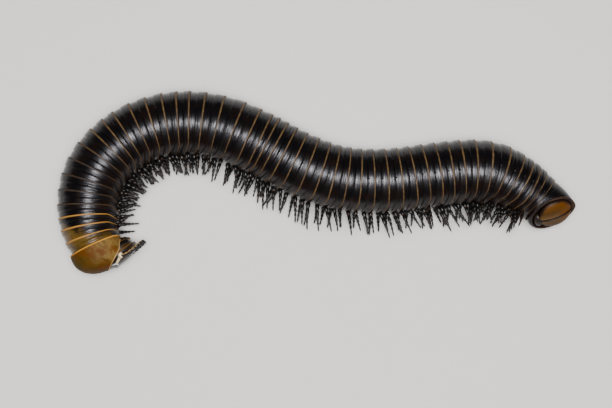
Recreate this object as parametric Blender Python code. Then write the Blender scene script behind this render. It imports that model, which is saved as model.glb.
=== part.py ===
"""A large black millipede at life size, lying on its right side in an S-shaped curve.

The trunk is a chain of rings along a course of arcs on the floor, its back to the left of the course
from head to tail and its legs to the right. Each length of three or four rings is one solid with the
legs that it carries. The collum, head, mouthparts, eyes, antennae, telson, anal valves and subanal
scale are solids of their own, set on the two ends of that course.

Sizes are in millimetres and degrees until a mesh is made, which is in metres. The floor is at Z 0 and
the origin is under the middle of the model's box.
"""
import itertools
import math

import bmesh
import bpy
import numpy as np

METRE = 0.001
GAP = 0.3
FAR = 20
CUT_SNAP = 1e-8

# Course of the body: where the front of the trunk lies, and pairs of distance from there and heading
COURSE_START = (-37.36, -11.07)
HEADING = (
    (0, 117), (5.3, 94), (8, 86.9), (16, 50.3), (24.1, 22.2), (32.1, -1.5), (40.15, -22.3), (48.2, -29.8),
    (56.2, -19.4), (64.25, -1.2), (72.25, 8.8), (80.3, 5.2), (84.3, -6.5), (88.3, -27), (92.3, -30.5),
    (96.35, -38),
)
COURSE_STEP = 0.1
COURSE_SPARE = 8
HEIGHT_SMOOTHING = 4
BEND_SPAN = 8

# Radius of the trunk, as pairs of distance from the front and radius
GIRTH = (
    (0, 4.3), (3, 4.88), (6.5, 5.3), (12, 5.5), (82, 5.53), (86, 5.48), (89, 5.23), (92.2, 4.88), (97, 3.8),
)
FLOOR_FLAT = 0.25
HEAD_LIFT = ((-8, 0.8), (0, 0.7), (6.5, 0))

# The back's lean from straight up towards the left of the course, and the rise of the tail's end
LEAN = ((0, 88), (12, 82), (80, 82), (97, 115))
TAIL_RISE = ((92, 0), (97, 27))

# Rings: how far each stands out of the one before, as pairs of ring number and length
RING_LENGTH = (
    (1, 1.71), (3, 1.57), (4, 1.94), (6, 1.98), (9, 2.23), (11, 1.67), (12, 2.33), (14, 2.28),
    (16, 1.85), (19, 2.99), (20, 2.68), (22, 1.23), (23, 1.53), (26, 2.52), (28, 2.21), (33, 2.3),
    (38, 2.01), (41, 2.25), (44, 1.3), (46, 1.8),
)
RING_COUNT = 46
RINGS_PER_LENGTH = (3, 4, 4, 4, 4, 4, 4, 4, 4, 4, 4, 3)
FIRST_MARGIN = 0.5
RING_SIDES = 24
PROZONITE = 0.95
SUTURE = 0.985
SUTURE_PLACE = 0.42
MARGIN_STEP = 0.1

# Legs: two pairs on a ring from the fourth on, one pair on the first three and none on the last
SINGLE_PAIR_RINGS = 3
LEGLESS_RINGS = 1
PAIR_PLACES = (0.3, 0.76)
SINGLE_PLACE = 0.52
LEG_SIDES = 4
LEG_EDGE_TURN = 45
LEG_LENGTH = 5.0
LEAST_LEG = 0.92
LEG_ROOT_SINK = 0.9
LEG_ROOT_ASIDE = 0.5
LEG_SPLAY = 46
LEG_CURL = 1.05
LEG_SWEEP = 9
BUNCH_SWEEP = 15
LOWER_BUNCH = 0.5
UNSWEPT_BEND = 0.1
WAVE_LEGS = 11
WAVE_LIFT = 7
ZIGZAG = 4
ZIGZAG_IN_BEND = 110
SHORTER_IN_BEND = 9
LEG_ROOM = 0.05
LEG_STATIONS = ((0, 0.37), (0.34, 0.36), (0.6, 0.31), (0.83, 0.25), (1, 0))

# Head, turned up from the trunk: distances forward, towards the belly and to the animal's left
HEAD_RAISED = 7
HEAD_SHIFT = (0.5, -0.22, 0)
HEAD_TILT = 20
HEAD_CENTRE = (1.95, 3.3, 0)
HEAD_HALF = (2.0, 3.7, 3.2)
HEAD_POWER = 2.3
MOUTH_CUT = (0.2, -0.35)
EYE_CENTRE = (3.84, 2.48, 2.05)
EYE_HALF = (0.55, 0.75, 0.55)
ANTENNA_SOCKET = 0.32
ANTENNA_PATH = (
    (2.6, 4.0, 3.1), (2.75, 4.5, 3.7), (2.7, 5.2, 4.0), (2.45, 5.95, 4.0),
    (2.15, 6.65, 3.85), (1.85, 7.3, 3.55), (1.6, 7.85, 3.2), (1.45, 8.25, 2.9),
)
ANTENNA_RADII = (0.32, 0.35, 0.38, 0.38, 0.38, 0.4, 0.34)
ANTENNA_SWELL = ((0.04, 0.72), (0.85, 1.0))
ANTENNA_END = 0.4
ANTENNA_SIDES = 7
LOWER_ANTENNA_ASIDE = 3.6

# Collum: a dome over the head with a flap down each side, cut obliquely in front by planes, given as
# pairs of slant and reach, and open towards the belly
COLLUM_RADIUS = 4.45
COLLUM_REAR = -1
COLLUM_FRONT = 4.4
COLLUM_SHOULDER = 0.4
COLLUM_POWER = 2.4
COLLUM_ROWS = 8
COLLUM_LAST_ROW = 0.96
FLAP_SHOULDER_POWER = 4
FLAP_DEPTH = 1.1
FLAP_POWER = 3
COLLUM_CUTS = ((42, 4.05), (68, 4.5))
THROAT_HALF = 2.4
THROAT_TOP = 2.3

# Tail: the telson's ring with its dorsal point, bent to the left of the last ring, and what closes it
TELSON_LENGTH = 3.0
TELSON_BEND = 25
TELSON_DROP = 1.15
TELSON_SHOULDER = 0.45
TELSON_FULLNESS = 0.07
TELSON_RIM = 3.35
TELSON_WALL = 0.4
TELSON_POINT = 0.3
TELSON_POINT_SPREAD = 30
OPENING_TILT = 34
VALVE_HALF = (1.05, 2.85, 2.8)
VALVE_POWER = 2.2
VALVE_CENTRE = -0.35
SCALE_HALF = (0.85, 0.85, 1.35)
SCALE_CENTRE = 2.6

BLACK = (0.012, 0.011, 0.012)
GOLD = (0.25, 0.15, 0.03)
OLIVE = (0.16, 0.1, 0.025)
EYE_BLACK = (0.02, 0.018, 0.02)
MOUTH_BROWN = (0.05, 0.03, 0.012)
RING_ROUGHNESS = 0.25
HORN_ROUGHNESS = 0.3
MOUTH_ROUGHNESS = 0.35
EYE_ROUGHNESS = 0.2

# Columns and rows of the faces of round pieces, and the sharpest angle that is shaded smooth
SMALL_ROUND = (12, 8)
SCALE_ROUND = (16, 8)
VALVE_ROUND = (20, 10)
SMOOTH_ANGLE = 40
EYE_SMOOTH_ANGLE = 60


def read_table(table, place):
    """Value at a place of a table of (place, value) pairs."""
    places, values = zip(*table)
    return np.interp(place, places, values)


def unit(vectors):
    """Vectors at length one."""
    return vectors / np.linalg.norm(vectors, axis=-1, keepdims=True)


def lay_course():
    """Distances along the body's axis and the points there, turning evenly between the headings."""
    distance = np.arange(-COURSE_SPARE, HEADING[-1][0] + 2 * COURSE_SPARE, COURSE_STEP)
    heading = np.radians(read_table(HEADING, distance))
    rise = np.tan(np.radians(read_table(TAIL_RISE, distance)))
    slope = np.stack([np.cos(heading), np.sin(heading), rise], axis=1) * COURSE_STEP
    points = np.cumsum(slope, axis=0)
    points -= [np.interp(0, distance, points[:, axis]) for axis in range(3)]
    points[:, :2] += COURSE_START
    window = int(HEIGHT_SMOOTHING / COURSE_STEP)
    height = read_table(GIRTH, distance) - FLOOR_FLAT + read_table(HEAD_LIFT, distance)
    height = np.convolve(np.pad(height, window, mode="edge"), np.ones(window) / window, mode="same")
    points[:, 2] += height[window:-window]
    return distance, points


COURSE, AXIS_POINTS = lay_course()
AXIS_SLOPES = unit(np.gradient(AXIS_POINTS, axis=0))


def frame_at(distance):
    """Point of the axis and its tailward, dorsal and left directions at one distance."""
    point = np.array([np.interp(distance, COURSE, AXIS_POINTS[:, axis]) for axis in range(3)])
    tailward = unit(np.array([np.interp(distance, COURSE, AXIS_SLOPES[:, axis]) for axis in range(3)]))
    aside = unit(np.cross((0, 0, 1), tailward))
    above = np.cross(tailward, aside)
    lean = math.radians(read_table(LEAN, distance))
    dorsal = aside * math.sin(lean) + above * math.cos(lean)
    left = above * math.sin(lean) - aside * math.cos(lean)
    return point, tailward, dorsal, left


def bend_at(distance):
    """Curvature of the course, positive where the legs are on the inside of the bend."""
    before, after = read_table(HEADING, (distance - BEND_SPAN / 2, distance + BEND_SPAN / 2))
    return math.radians(before - after) / BEND_SPAN


def circle_at(distance, radius, shift=0.0):
    """Points round the body at one distance, moved along its axis by shift and kept above the floor."""
    point, tailward, dorsal, left = frame_at(distance)
    angles = np.radians(np.arange(RING_SIDES) * 360 / RING_SIDES)[:, None]
    circle = point + shift * tailward + radius * (np.cos(angles) * dorsal + np.sin(angles) * left)
    circle[:, 2] = np.maximum(circle[:, 2], 0)
    return circle


def make_material(name, colour, roughness, metallic=0.0):
    """A Principled material of one colour."""
    material = bpy.data.materials.new(name)
    material.use_nodes = True
    shader = material.node_tree.nodes["Principled BSDF"]
    shader.inputs["Base Color"].default_value = (*colour, 1)
    shader.inputs["Roughness"].default_value = roughness
    shader.inputs["Metallic"].default_value = metallic
    return material


def make_object(name, points, faces):
    """An object of millimetre points with its faces turned outwards."""
    mesh = bpy.data.meshes.new(name)
    mesh.from_pydata((np.asarray(points) * METRE).tolist(), [], faces)
    shape = bmesh.new()
    shape.from_mesh(mesh)
    bmesh.ops.recalc_face_normals(shape, faces=shape.faces)
    shape.to_mesh(mesh)
    shape.free()
    made = bpy.data.objects.new(name, mesh)
    bpy.context.scene.collection.objects.link(made)
    return made


def loft(name, rows, pointed=False):
    """A closed body through rows of points of one count, its last row drawn to a point if asked."""
    rows = np.asarray(rows)
    count, sides = rows.shape[:2]
    points = rows.reshape(-1, 3)
    faces = []
    full = count - 1 if pointed else count
    for row in range(full - 1):
        for side in range(sides):
            turn = (side + 1) % sides
            here, beyond = row * sides, (row + 1) * sides
            faces.append((here + side, here + turn, beyond + turn, beyond + side))
    faces.append(tuple(range(sides)))
    last = (full - 1) * sides
    if pointed:
        points = points[:full * sides + 1]
        faces += [(last + side, last + (side + 1) % sides, full * sides) for side in range(sides)]
    else:
        faces.append(tuple(range(last, last + sides)))
    return make_object(name, points, faces)


def superellipsoid(name, half, power, place, columns=20, rows=12):
    """A closed round body with half sizes along three directions, set by a function place(points)."""
    def bulge(value):
        return np.sign(value) * np.abs(value) ** (2 / power)

    tilt = np.linspace(-math.pi / 2, math.pi / 2, rows + 1)[1:-1, None]
    turn = np.linspace(0, 2 * math.pi, columns, endpoint=False)[None, :]
    first = half[0] * bulge(np.cos(tilt)) * bulge(np.cos(turn))
    second = half[1] * bulge(np.sin(tilt)) * np.ones_like(turn)
    third = half[2] * bulge(np.cos(tilt)) * bulge(np.sin(turn))
    grid = np.stack([first, second, third], axis=-1).reshape(-1, 3)
    poles = np.array([[0, -half[1], 0], [0, half[1], 0]])
    faces = []
    for row in range(rows - 2):
        for column in range(columns):
            turn_to = (column + 1) % columns
            low = row * columns
            high = low + columns
            faces.append((low + column, low + turn_to, high + turn_to, high + column))
    top = (rows - 2) * columns
    foot_pole = len(grid)
    for column in range(columns):
        turn_to = (column + 1) % columns
        faces.append((column, turn_to, foot_pole))
        faces.append((top + column, top + turn_to, foot_pole + 1))
    return make_object(name, place(np.concatenate([grid, poles])), faces)


def block(name, low, high, place):
    """A box between two corners, set by a function place(points)."""
    sides = zip(low, high)
    corners = np.array(list(itertools.product(*sides)))
    faces = [(0, 1, 3, 2), (4, 6, 7, 5), (0, 4, 5, 1), (2, 3, 7, 6), (0, 2, 6, 4), (1, 5, 7, 3)]
    return make_object(name, place(corners.astype(float)), faces)


def keep_largest(shape):
    """Deletes all but the largest connected surface of a bmesh."""
    unseen = set(shape.verts)
    surfaces = []
    while unseen:
        start = unseen.pop()
        surface = {start}
        front = [start]
        while front:
            vertex = front.pop()
            for edge in vertex.link_edges:
                other = edge.other_vert(vertex)
                if other in unseen:
                    unseen.remove(other)
                    surface.add(other)
                    front.append(other)
        surfaces.append(surface)
    largest = max(surfaces, key=len)
    scraps = [vertex for surface in surfaces if surface is not largest for vertex in surface]
    bmesh.ops.delete(shape, geom=scraps, context="VERTS")


def combine(body, others, operation):
    """Joins others to a body, or cuts them from it, and keeps its largest closed surface."""
    group = bpy.data.collections.new(body.name + "_pieces")
    bpy.context.scene.collection.children.link(group)
    for other in others:
        bpy.context.scene.collection.objects.unlink(other)
        group.objects.link(other)
    boolean = body.modifiers.new(operation.lower(), "BOOLEAN")
    boolean.operation = operation
    boolean.operand_type = "COLLECTION"
    boolean.collection = group
    boolean.solver = "EXACT"
    result = body.evaluated_get(bpy.context.evaluated_depsgraph_get())
    shape = bmesh.new()
    shape.from_mesh(result.to_mesh())
    keep_largest(shape)
    body.modifiers.clear()
    shape.to_mesh(body.data)
    shape.free()
    for other in others:
        bpy.data.objects.remove(other)
    bpy.data.collections.remove(group)


def cut_flat(body, point, outward):
    """Cuts off what lies beyond a plane through a point, and closes the cut."""
    shape = bmesh.new()
    shape.from_mesh(body.data)
    whole = shape.verts[:] + shape.edges[:] + shape.faces[:]
    plane = {"plane_co": np.asarray(point) * METRE, "plane_no": outward}
    cut = bmesh.ops.bisect_plane(shape, geom=whole, dist=CUT_SNAP, clear_outer=True, **plane)
    rim = [item for item in cut["geom_cut"] if isinstance(item, bmesh.types.BMEdge)]
    bmesh.ops.contextual_create(shape, geom=rim)
    bmesh.ops.recalc_face_normals(shape, faces=shape.faces)
    shape.to_mesh(body.data)
    shape.free()


def dress(body, colour, roughness, smooth=SMOOTH_ANGLE):
    """Flattens a body where it would pass the floor, and gives it its own material and smooth shading."""
    if min(vertex.co.z for vertex in body.data.vertices) < 0:
        cut_flat(body, (0, 0, 0), (0, 0, -1))
    body.data.materials.clear()
    body.data.materials.append(make_material(body.name, colour, roughness))
    body.data.shade_smooth()
    body.data.set_sharp_from_angle(angle=math.radians(smooth))


def ring_margins():
    """Distances of the collum's rear margin and of each ring's."""
    lengths = read_table(RING_LENGTH, np.arange(1, RING_COUNT + 1))
    return FIRST_MARGIN + np.concatenate([[0], np.cumsum(lengths)])


def ring_circles(margins, first, last):
    """Circles round the rings first to last - 1, with half the gap left at both ends."""
    front, rear = margins[first], margins[last]
    circles = [circle_at(front, PROZONITE * read_table(GIRTH, front), GAP / 2)]
    for ring in range(first, last):
        start, end = margins[ring], margins[ring + 1]
        suture = start + SUTURE_PLACE * (end - start)
        circles.append(circle_at(suture, SUTURE * read_table(GIRTH, suture)))
        if ring < last - 1:
            circles.append(circle_at(end, read_table(GIRTH, end)))
            circles.append(circle_at(end + MARGIN_STEP, PROZONITE * read_table(GIRTH, end)))
    circles.append(circle_at(rear, read_table(GIRTH, rear), -GAP / 2))
    return circles


def leg_places(margins, ring):
    """Distances along the body of the leg pairs of one ring."""
    start, length = margins[ring], margins[ring + 1] - margins[ring]
    if ring < SINGLE_PAIR_RINGS:
        return [start + SINGLE_PLACE * length]
    if ring >= RING_COUNT - LEGLESS_RINGS:
        return []
    return [start + place * length for place in PAIR_PLACES]


def keep_between(point, clearance, front, rear):
    """Moves a point to at least a clearance inside two planes across the body."""
    for distance, sense in ((front, 1), (rear, -1)):
        origin, tailward = frame_at(distance)[:2]
        inside = sense * np.dot(point - origin, tailward)
        if inside < clearance:
            point = point + sense * (clearance - inside) * tailward
    return point


def make_leg(number, place, side, front, rear):
    """One tapering leg: number counts the pairs from the head, side is 1 for left and -1 for right."""
    origin, tailward, dorsal, left = frame_at(place)
    bend = max(bend_at(place), 0)
    phase = 2 * math.pi * number / WAVE_LEGS
    zigzag = (ZIGZAG + ZIGZAG_IN_BEND * bend) * (1 if number % 2 else -1)
    splay = LEG_SPLAY + WAVE_LIFT * math.cos(phase) + zigzag
    bunch = BUNCH_SWEEP * (1 if side > 0 else LOWER_BUNCH)
    spread = 1 - 2 * (place - front) / (rear - front)
    sweep = math.radians(LEG_SWEEP + bunch * spread) * (1 - min(bend / UNSWEPT_BEND, 1))
    radius = read_table(GIRTH, place)
    stature = max(radius / max(value for _, value in GIRTH), LEAST_LEG)
    length = (LEG_LENGTH - SHORTER_IN_BEND * bend) * stature
    down = radius - LEG_ROOT_SINK
    aside = LEG_ROOT_ASIDE
    along = 0.0
    spots = []
    for before, (reach, _) in zip((0,) + tuple(part for part, _ in LEG_STATIONS), LEG_STATIONS):
        step = (reach - before) * length
        slant = math.radians(splay * (1 - LEG_CURL * (before + reach) / 2))
        down += step * math.cos(slant)
        aside += step * math.sin(slant)
        along += step * math.sin(sweep)
        spot = origin - down * dorsal + side * aside * left + along * tailward
        thickness = LEG_STATIONS[len(spots)][1]
        spot = keep_between(spot, GAP / 2 + thickness + LEG_ROOM, front, rear)
        spot[2] = max(spot[2], thickness + LEG_ROOM)
        spots.append(spot)
    spots = np.array(spots)
    lie = unit(np.gradient(spots, axis=0))
    across = unit(tailward - np.sum(lie * tailward, axis=1, keepdims=True) * lie)
    over = np.cross(lie, across)
    rows = []
    for spot, one, two, (_, thickness) in zip(spots, across, over, LEG_STATIONS):
        angles = np.radians(LEG_EDGE_TURN + np.arange(LEG_SIDES) * 360 / LEG_SIDES)[:, None]
        rows.append(spot + thickness * (np.cos(angles) * one + np.sin(angles) * two))
    return loft("leg", rows, pointed=True)


def build_trunk():
    """The twelve lengths of the trunk, each one solid with its legs."""
    margins = ring_margins()
    first = 0
    pair = 0
    for index, rings in enumerate(RINGS_PER_LENGTH):
        last = first + rings
        length = loft(f"trunk_{index + 1:02d}", ring_circles(margins, first, last))
        legs = []
        for ring in range(first, last):
            for place in leg_places(margins, ring):
                pair += 1
                legs += [make_leg(pair, place, side, margins[first], margins[last]) for side in (1, -1)]
        combine(length, legs, "UNION")
        dress(length, BLACK, RING_ROUGHNESS)
        first = last
    return margins[-1]


def head_frame():
    """Point of the axis at the trunk's front, and the head's faceward, bellyward and left directions."""
    point, tailward, dorsal, left = frame_at(FIRST_MARGIN)
    raised = math.radians(HEAD_RAISED)
    faceward = math.sin(raised) * dorsal - math.cos(raised) * tailward
    bellyward = -math.cos(raised) * dorsal - math.sin(raised) * tailward
    return point, faceward, bellyward, left


def head_place(points):
    """From forward, bellyward and left distances at the front of the trunk to the model's frame."""
    point, faceward, bellyward, left = head_frame()
    points = np.atleast_2d(points) + HEAD_SHIFT
    return point + points[:, :1] * faceward + points[:, 1:2] * bellyward + points[:, 2:] * left


def tilted_place(points):
    """As head_place, from distances out of the face, down it and left of the head's centre."""
    tilt = math.radians(HEAD_TILT)
    points = np.atleast_2d(points)
    forward = points[:, 0] * math.cos(tilt) - points[:, 1] * math.sin(tilt)
    down = points[:, 0] * math.sin(tilt) + points[:, 1] * math.cos(tilt)
    return head_place(np.stack([forward, down, points[:, 2]], axis=1) + HEAD_CENTRE)


def about(centre):
    """A place function for small round pieces centred at a spot of the head."""
    return lambda points: head_place(points + np.asarray(centre))


def grown(half, extra):
    """Half sizes with an allowance all round."""
    return tuple(size + extra for size in half)


def eye_shape(name, side, extra=0.0):
    """The eye of one side, or the room for it with an allowance all round."""
    centre = np.array(EYE_CENTRE) * (1, 1, side)
    return superellipsoid(name, grown(EYE_HALF, extra), 2, about(centre), *SMALL_ROUND)


def antenna_path(side):
    """Path of the left antenna, or of the right one, which lies closer to the head."""
    path = np.array(ANTENNA_PATH)
    if side < 0:
        path[:, 2] = -np.minimum(path[:, 2], LOWER_ANTENNA_ASIDE)
    return path


def make_antenna(name, side):
    """Seven joints along a curved path, each thicker towards its end."""
    path = head_place(antenna_path(side))
    path[:, 2] = np.maximum(path[:, 2], max(ANTENNA_RADII) + GAP)
    lie = unit(np.gradient(path, axis=0))
    across = unit(np.cross(lie, frame_at(FIRST_MARGIN)[3]))
    over = np.cross(lie, across)
    angles = np.radians(np.arange(ANTENNA_SIDES) * 360 / ANTENNA_SIDES)[:, None, None]
    rounds = np.cos(angles) * across + np.sin(angles) * over
    rows = []
    for joint, radius in enumerate(ANTENNA_RADII):
        for share, size in ANTENNA_SWELL:
            spot = path[joint] * (1 - share) + path[joint + 1] * share
            rows.append(spot + size * radius * rounds[:, joint])
    rows.append(path[-1] + ANTENNA_END * ANTENNA_RADII[-1] * rounds[:, -1])
    antenna = loft(name, rows)
    dress(antenna, BLACK, HORN_ROUGHNESS)


def build_head():
    """Head capsule, mouthparts, eyes and antennae."""
    cut_face, cut_top = MOUTH_CUT
    head = superellipsoid("head", HEAD_HALF, HEAD_POWER, tilted_place)
    mouth = superellipsoid("mouthparts", HEAD_HALF, HEAD_POWER, tilted_place)
    jaw_low, jaw_high = (-FAR, cut_top - GAP / 2, -FAR), (cut_face + GAP / 2, FAR, FAR)
    cutters = [block("jaw_room", jaw_low, jaw_high, tilted_place)]
    for side in (1, -1):
        cutters.append(eye_shape("eye_socket", side, GAP))
        socket = antenna_path(side)[0]
        half = (ANTENNA_SOCKET + GAP,) * 3
        cutters.append(superellipsoid("socket", half, 2, about(socket), *SMALL_ROUND))
    combine(head, cutters, "DIFFERENCE")
    dress(head, BLACK, HORN_ROUGHNESS)
    centre = tilted_place((0, 0, 0))[0]
    cut_flat(mouth, tilted_place((cut_face - GAP / 2, 0, 0))[0], tilted_place((1, 0, 0))[0] - centre)
    cut_flat(mouth, tilted_place((0, cut_top + GAP / 2, 0))[0], centre - tilted_place((0, 1, 0))[0])
    dress(mouth, MOUTH_BROWN, MOUTH_ROUGHNESS)
    for name, side in (("left", 1), ("right", -1)):
        dress(eye_shape("eye_" + name, side), EYE_BLACK, EYE_ROUGHNESS, EYE_SMOOTH_ANGLE)
        make_antenna("antenna_" + name, side)


def collum_row(reach):
    """Points round the collum at one reach forward: round over the back and drawn down at the sides."""
    rise = max(reach - COLLUM_SHOULDER, 0) / (COLLUM_FRONT - COLLUM_SHOULDER)
    back = COLLUM_RADIUS * math.sqrt(1 - rise ** COLLUM_POWER)
    flank = COLLUM_RADIUS * math.sqrt(1 - rise ** FLAP_SHOULDER_POWER)
    angles = np.radians(np.arange(RING_SIDES) * 360 / RING_SIDES)
    down, aside = -np.cos(angles), np.sin(angles)
    in_flap = down > 0
    square = 2 / FLAP_POWER
    down = np.where(in_flap, FLAP_DEPTH * flank * np.abs(down) ** square, back * down)
    aside = flank * np.where(in_flap, np.sign(aside) * np.abs(aside) ** square, aside)
    return head_place(np.stack([np.full(RING_SIDES, reach), down, aside], axis=1))


def build_collum():
    """The dome behind and over the head, clear of it all round."""
    nearer = 1 - np.linspace(0, COLLUM_LAST_ROW, COLLUM_ROWS)
    reaches = COLLUM_FRONT - (COLLUM_FRONT - COLLUM_SHOULDER) * nearer ** 2
    collum = loft("collum", [collum_row(reach) for reach in (COLLUM_REAR, *reaches)])
    point, tailward = frame_at(FIRST_MARGIN)[:2]
    cut_flat(collum, point - GAP / 2 * tailward, tailward)
    faceward, bellyward = head_frame()[1:3]
    for slant, reach in COLLUM_CUTS:
        out, down = math.cos(math.radians(slant)), math.sin(math.radians(slant))
        cut_flat(collum, head_place((reach * out, reach * down, 0))[0], out * faceward + down * bellyward)
    rooms = [
        superellipsoid("head_room", grown(HEAD_HALF, GAP), HEAD_POWER, tilted_place),
        block("throat", (-FAR, THROAT_TOP, -THROAT_HALF), (FAR, FAR, THROAT_HALF), head_place),
        eye_shape("eye_room_left", 1, GAP),
        eye_shape("eye_room_right", -1, GAP),
    ]
    combine(collum, rooms, "DIFFERENCE")
    dress(collum, OLIVE, HORN_ROUGHNESS)


def build_tail(last_margin):
    """The telson's ring, cut obliquely towards the belly, its two anal valves and the scale below them."""
    origin, tailward, dorsal, left = frame_at(last_margin)
    turn = np.radians(np.arange(RING_SIDES) * 360 / RING_SIDES)[:, None]
    spokes = PROZONITE * read_table(GIRTH, last_margin) * (np.cos(turn) * dorsal + np.sin(turn) * left)
    front = origin + GAP / 2 * tailward + spokes
    bend = math.radians(TELSON_BEND)
    bent_left = math.cos(bend) * left - math.sin(bend) * tailward
    along = math.cos(bend) * tailward + math.sin(bend) * left
    tilt = math.radians(OPENING_TILT)
    outward = math.cos(tilt) * along - math.sin(tilt) * dorsal
    bellyward = -math.cos(tilt) * dorsal - math.sin(tilt) * along
    opening = origin + TELSON_LENGTH * unit(along + tailward) - TELSON_DROP * dorsal
    off_top = (np.degrees(turn) + 180) % 360 - 180
    point = TELSON_POINT * np.exp(-off_top ** 2 / TELSON_POINT_SPREAD ** 2)

    def rim(radius, pointed=0.0):
        """Points round the oblique opening, as far from the telson's axis as given."""
        reach = radius * math.tan(tilt) * np.cos(turn) + pointed * point
        return opening + reach * along + radius * (np.cos(turn) * dorsal + np.sin(turn) * bent_left)

    shoulder = front + TELSON_SHOULDER * (rim(TELSON_RIM) - front) + TELSON_FULLNESS * spokes
    lip = rim(TELSON_RIM - TELSON_WALL / 2, 1)
    telson = loft("telson", [front, shoulder, rim(TELSON_RIM, 1), lip, rim(TELSON_RIM - TELSON_WALL)])
    dress(telson, BLACK, RING_ROUGHNESS)

    def place(points):
        """From distances out of the opening, towards the belly and to the left."""
        points = np.atleast_2d(points)
        return opening + points[:, :1] * outward + points[:, 1:2] * bellyward + points[:, 2:] * bent_left

    def below(middle):
        """A place function for round pieces centred a distance towards the belly."""
        return lambda points: place(points + (0, middle, 0))

    for name, side in (("left", 1), ("right", -1)):
        middle = below(VALVE_CENTRE)
        valve = superellipsoid("anal_valve_" + name, VALVE_HALF, VALVE_POWER, middle, *VALVE_ROUND)
        cut_flat(valve, place((GAP, 0, 0))[0], -outward)
        cut_flat(valve, place((0, 0, side * GAP / 2))[0], -side * bent_left)
        dress(valve, GOLD, HORN_ROUGHNESS)
    scale = superellipsoid("subanal_scale", SCALE_HALF, 2, below(SCALE_CENTRE), *SCALE_ROUND)
    cut_flat(scale, place((GAP, 0, 0))[0], -outward)
    cut_flat(scale, place((0, VALVE_CENTRE + VALVE_HALF[1] + GAP, 0))[0], -bellyward)
    dress(scale, MOUTH_BROWN, HORN_ROUGHNESS)


def main():
    """Empties the scene and builds the animal."""
    for old in list(bpy.data.objects):
        bpy.data.objects.remove(old)
    last_margin = build_trunk()
    build_collum()
    build_head()
    build_tail(last_margin)


main()
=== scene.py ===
"""A large black millipede at life size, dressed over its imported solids.

The animal lies on its right side in an S-shaped curve. Its trunk is a chain of glossy rings with
golden rear margins and two pairs of legs on a ring. In front come the collum, the head with its eyes
and feelers and the mouthparts, behind come the telson, two anal valves and the subanal scale.

Sizes are in millimetres and degrees until a mesh is made, which is in metres.
"""
import logging
import math
from dataclasses import dataclass, field
from enum import Enum
from functools import lru_cache
from typing import Callable

import bpy
import numpy as np
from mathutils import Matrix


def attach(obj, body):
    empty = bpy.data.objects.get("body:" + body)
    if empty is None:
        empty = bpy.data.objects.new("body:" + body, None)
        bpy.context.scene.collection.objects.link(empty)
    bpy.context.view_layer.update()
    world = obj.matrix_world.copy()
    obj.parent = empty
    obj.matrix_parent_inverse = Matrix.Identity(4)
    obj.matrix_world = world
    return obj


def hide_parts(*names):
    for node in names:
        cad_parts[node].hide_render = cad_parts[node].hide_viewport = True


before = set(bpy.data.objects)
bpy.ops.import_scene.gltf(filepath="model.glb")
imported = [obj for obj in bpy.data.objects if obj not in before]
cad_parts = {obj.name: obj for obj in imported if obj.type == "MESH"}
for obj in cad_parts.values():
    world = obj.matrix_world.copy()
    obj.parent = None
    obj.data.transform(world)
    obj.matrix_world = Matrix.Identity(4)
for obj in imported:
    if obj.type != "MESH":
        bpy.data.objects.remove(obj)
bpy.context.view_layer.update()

BODY = "root"
MM = 0.001
FULL_TURN = 2 * math.pi
BRISTLE_HEIGHT = 0.04

Array = np.ndarray
Triple = tuple[float, float, float]
Colour = Triple
Point = Triple
Table = tuple[tuple[float, float], ...]
Plate = tuple[tuple[float, float], tuple[float, float], float, float]
Mapping = Callable[[Array], Array]

log = logging.getLogger("millipede")


class Slot(Enum):
    """Material slots of the record."""

    RINGS = "ring_shell"
    GOLD = "gold_shell"
    HEAD = "head_shell"
    MOUTH = "mouth_shell"
    LIMB = "limb"
    EYE = "eye"


class Ends(Enum):
    """How a grid of closed loops ends: each end closed by a fan, or its last loop joined to its first."""

    FAN = "fan"
    LOOP = "loop"


# Numbers


def read_table(table: Table, place: Array) -> Array:
    """Value at each place, straight between the (place, value) pairs of a table."""
    places, values = zip(*table)
    return np.interp(place, places, values)


def unit(vectors: Array) -> Array:
    """Vectors at length one."""
    return vectors / np.linalg.norm(vectors, axis=-1, keepdims=True)


def step(low: float, high: float, value: Array) -> Array:
    """Smooth step from 0 at low to 1 at high, 3t^2 - 2t^3 in between."""
    share = np.clip((value - low) / (high - low), 0, 1)
    return share * share * (3 - 2 * share)


def bump_at(middle: float, width: float, value: Array) -> Array:
    """Bell curve of height 1 about a middle, e^-(offset / width)^2."""
    return np.exp(-(((value - middle) / width) ** 2))


def bumps(table: tuple[Triple, ...], value: Array) -> Array:
    """Sum of bell curves, from rows of height, middle and width."""
    return sum(height * bump_at(middle, width, value) for height, middle, width in table)


def signed_power(value: Array, power: float) -> Array:
    """Power of the size of a value, with its sign kept."""
    return np.sign(value) * np.abs(value) ** power


def around(count: int) -> Array:
    """Angles of a full turn in equal steps, the first at 0."""
    return np.arange(count) * FULL_TURN / count


def halve(test: Mapping, low: Array, high: Array, rounds: int = 34) -> Array:
    """Place between low and high where a test turns from true to false, found by halving.

    Args:
        test: Takes an array of places and says which of them pass.
        low: Places that pass.
        high: Places that fail.
        rounds: Number of halvings.

    Returns:
        The places of the change.
    """
    for _ in range(rounds):
        middle = (low + high) / 2
        passed = test(middle)
        low, high = np.where(passed, middle, low), np.where(passed, high, middle)
    return (low + high) / 2


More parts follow.
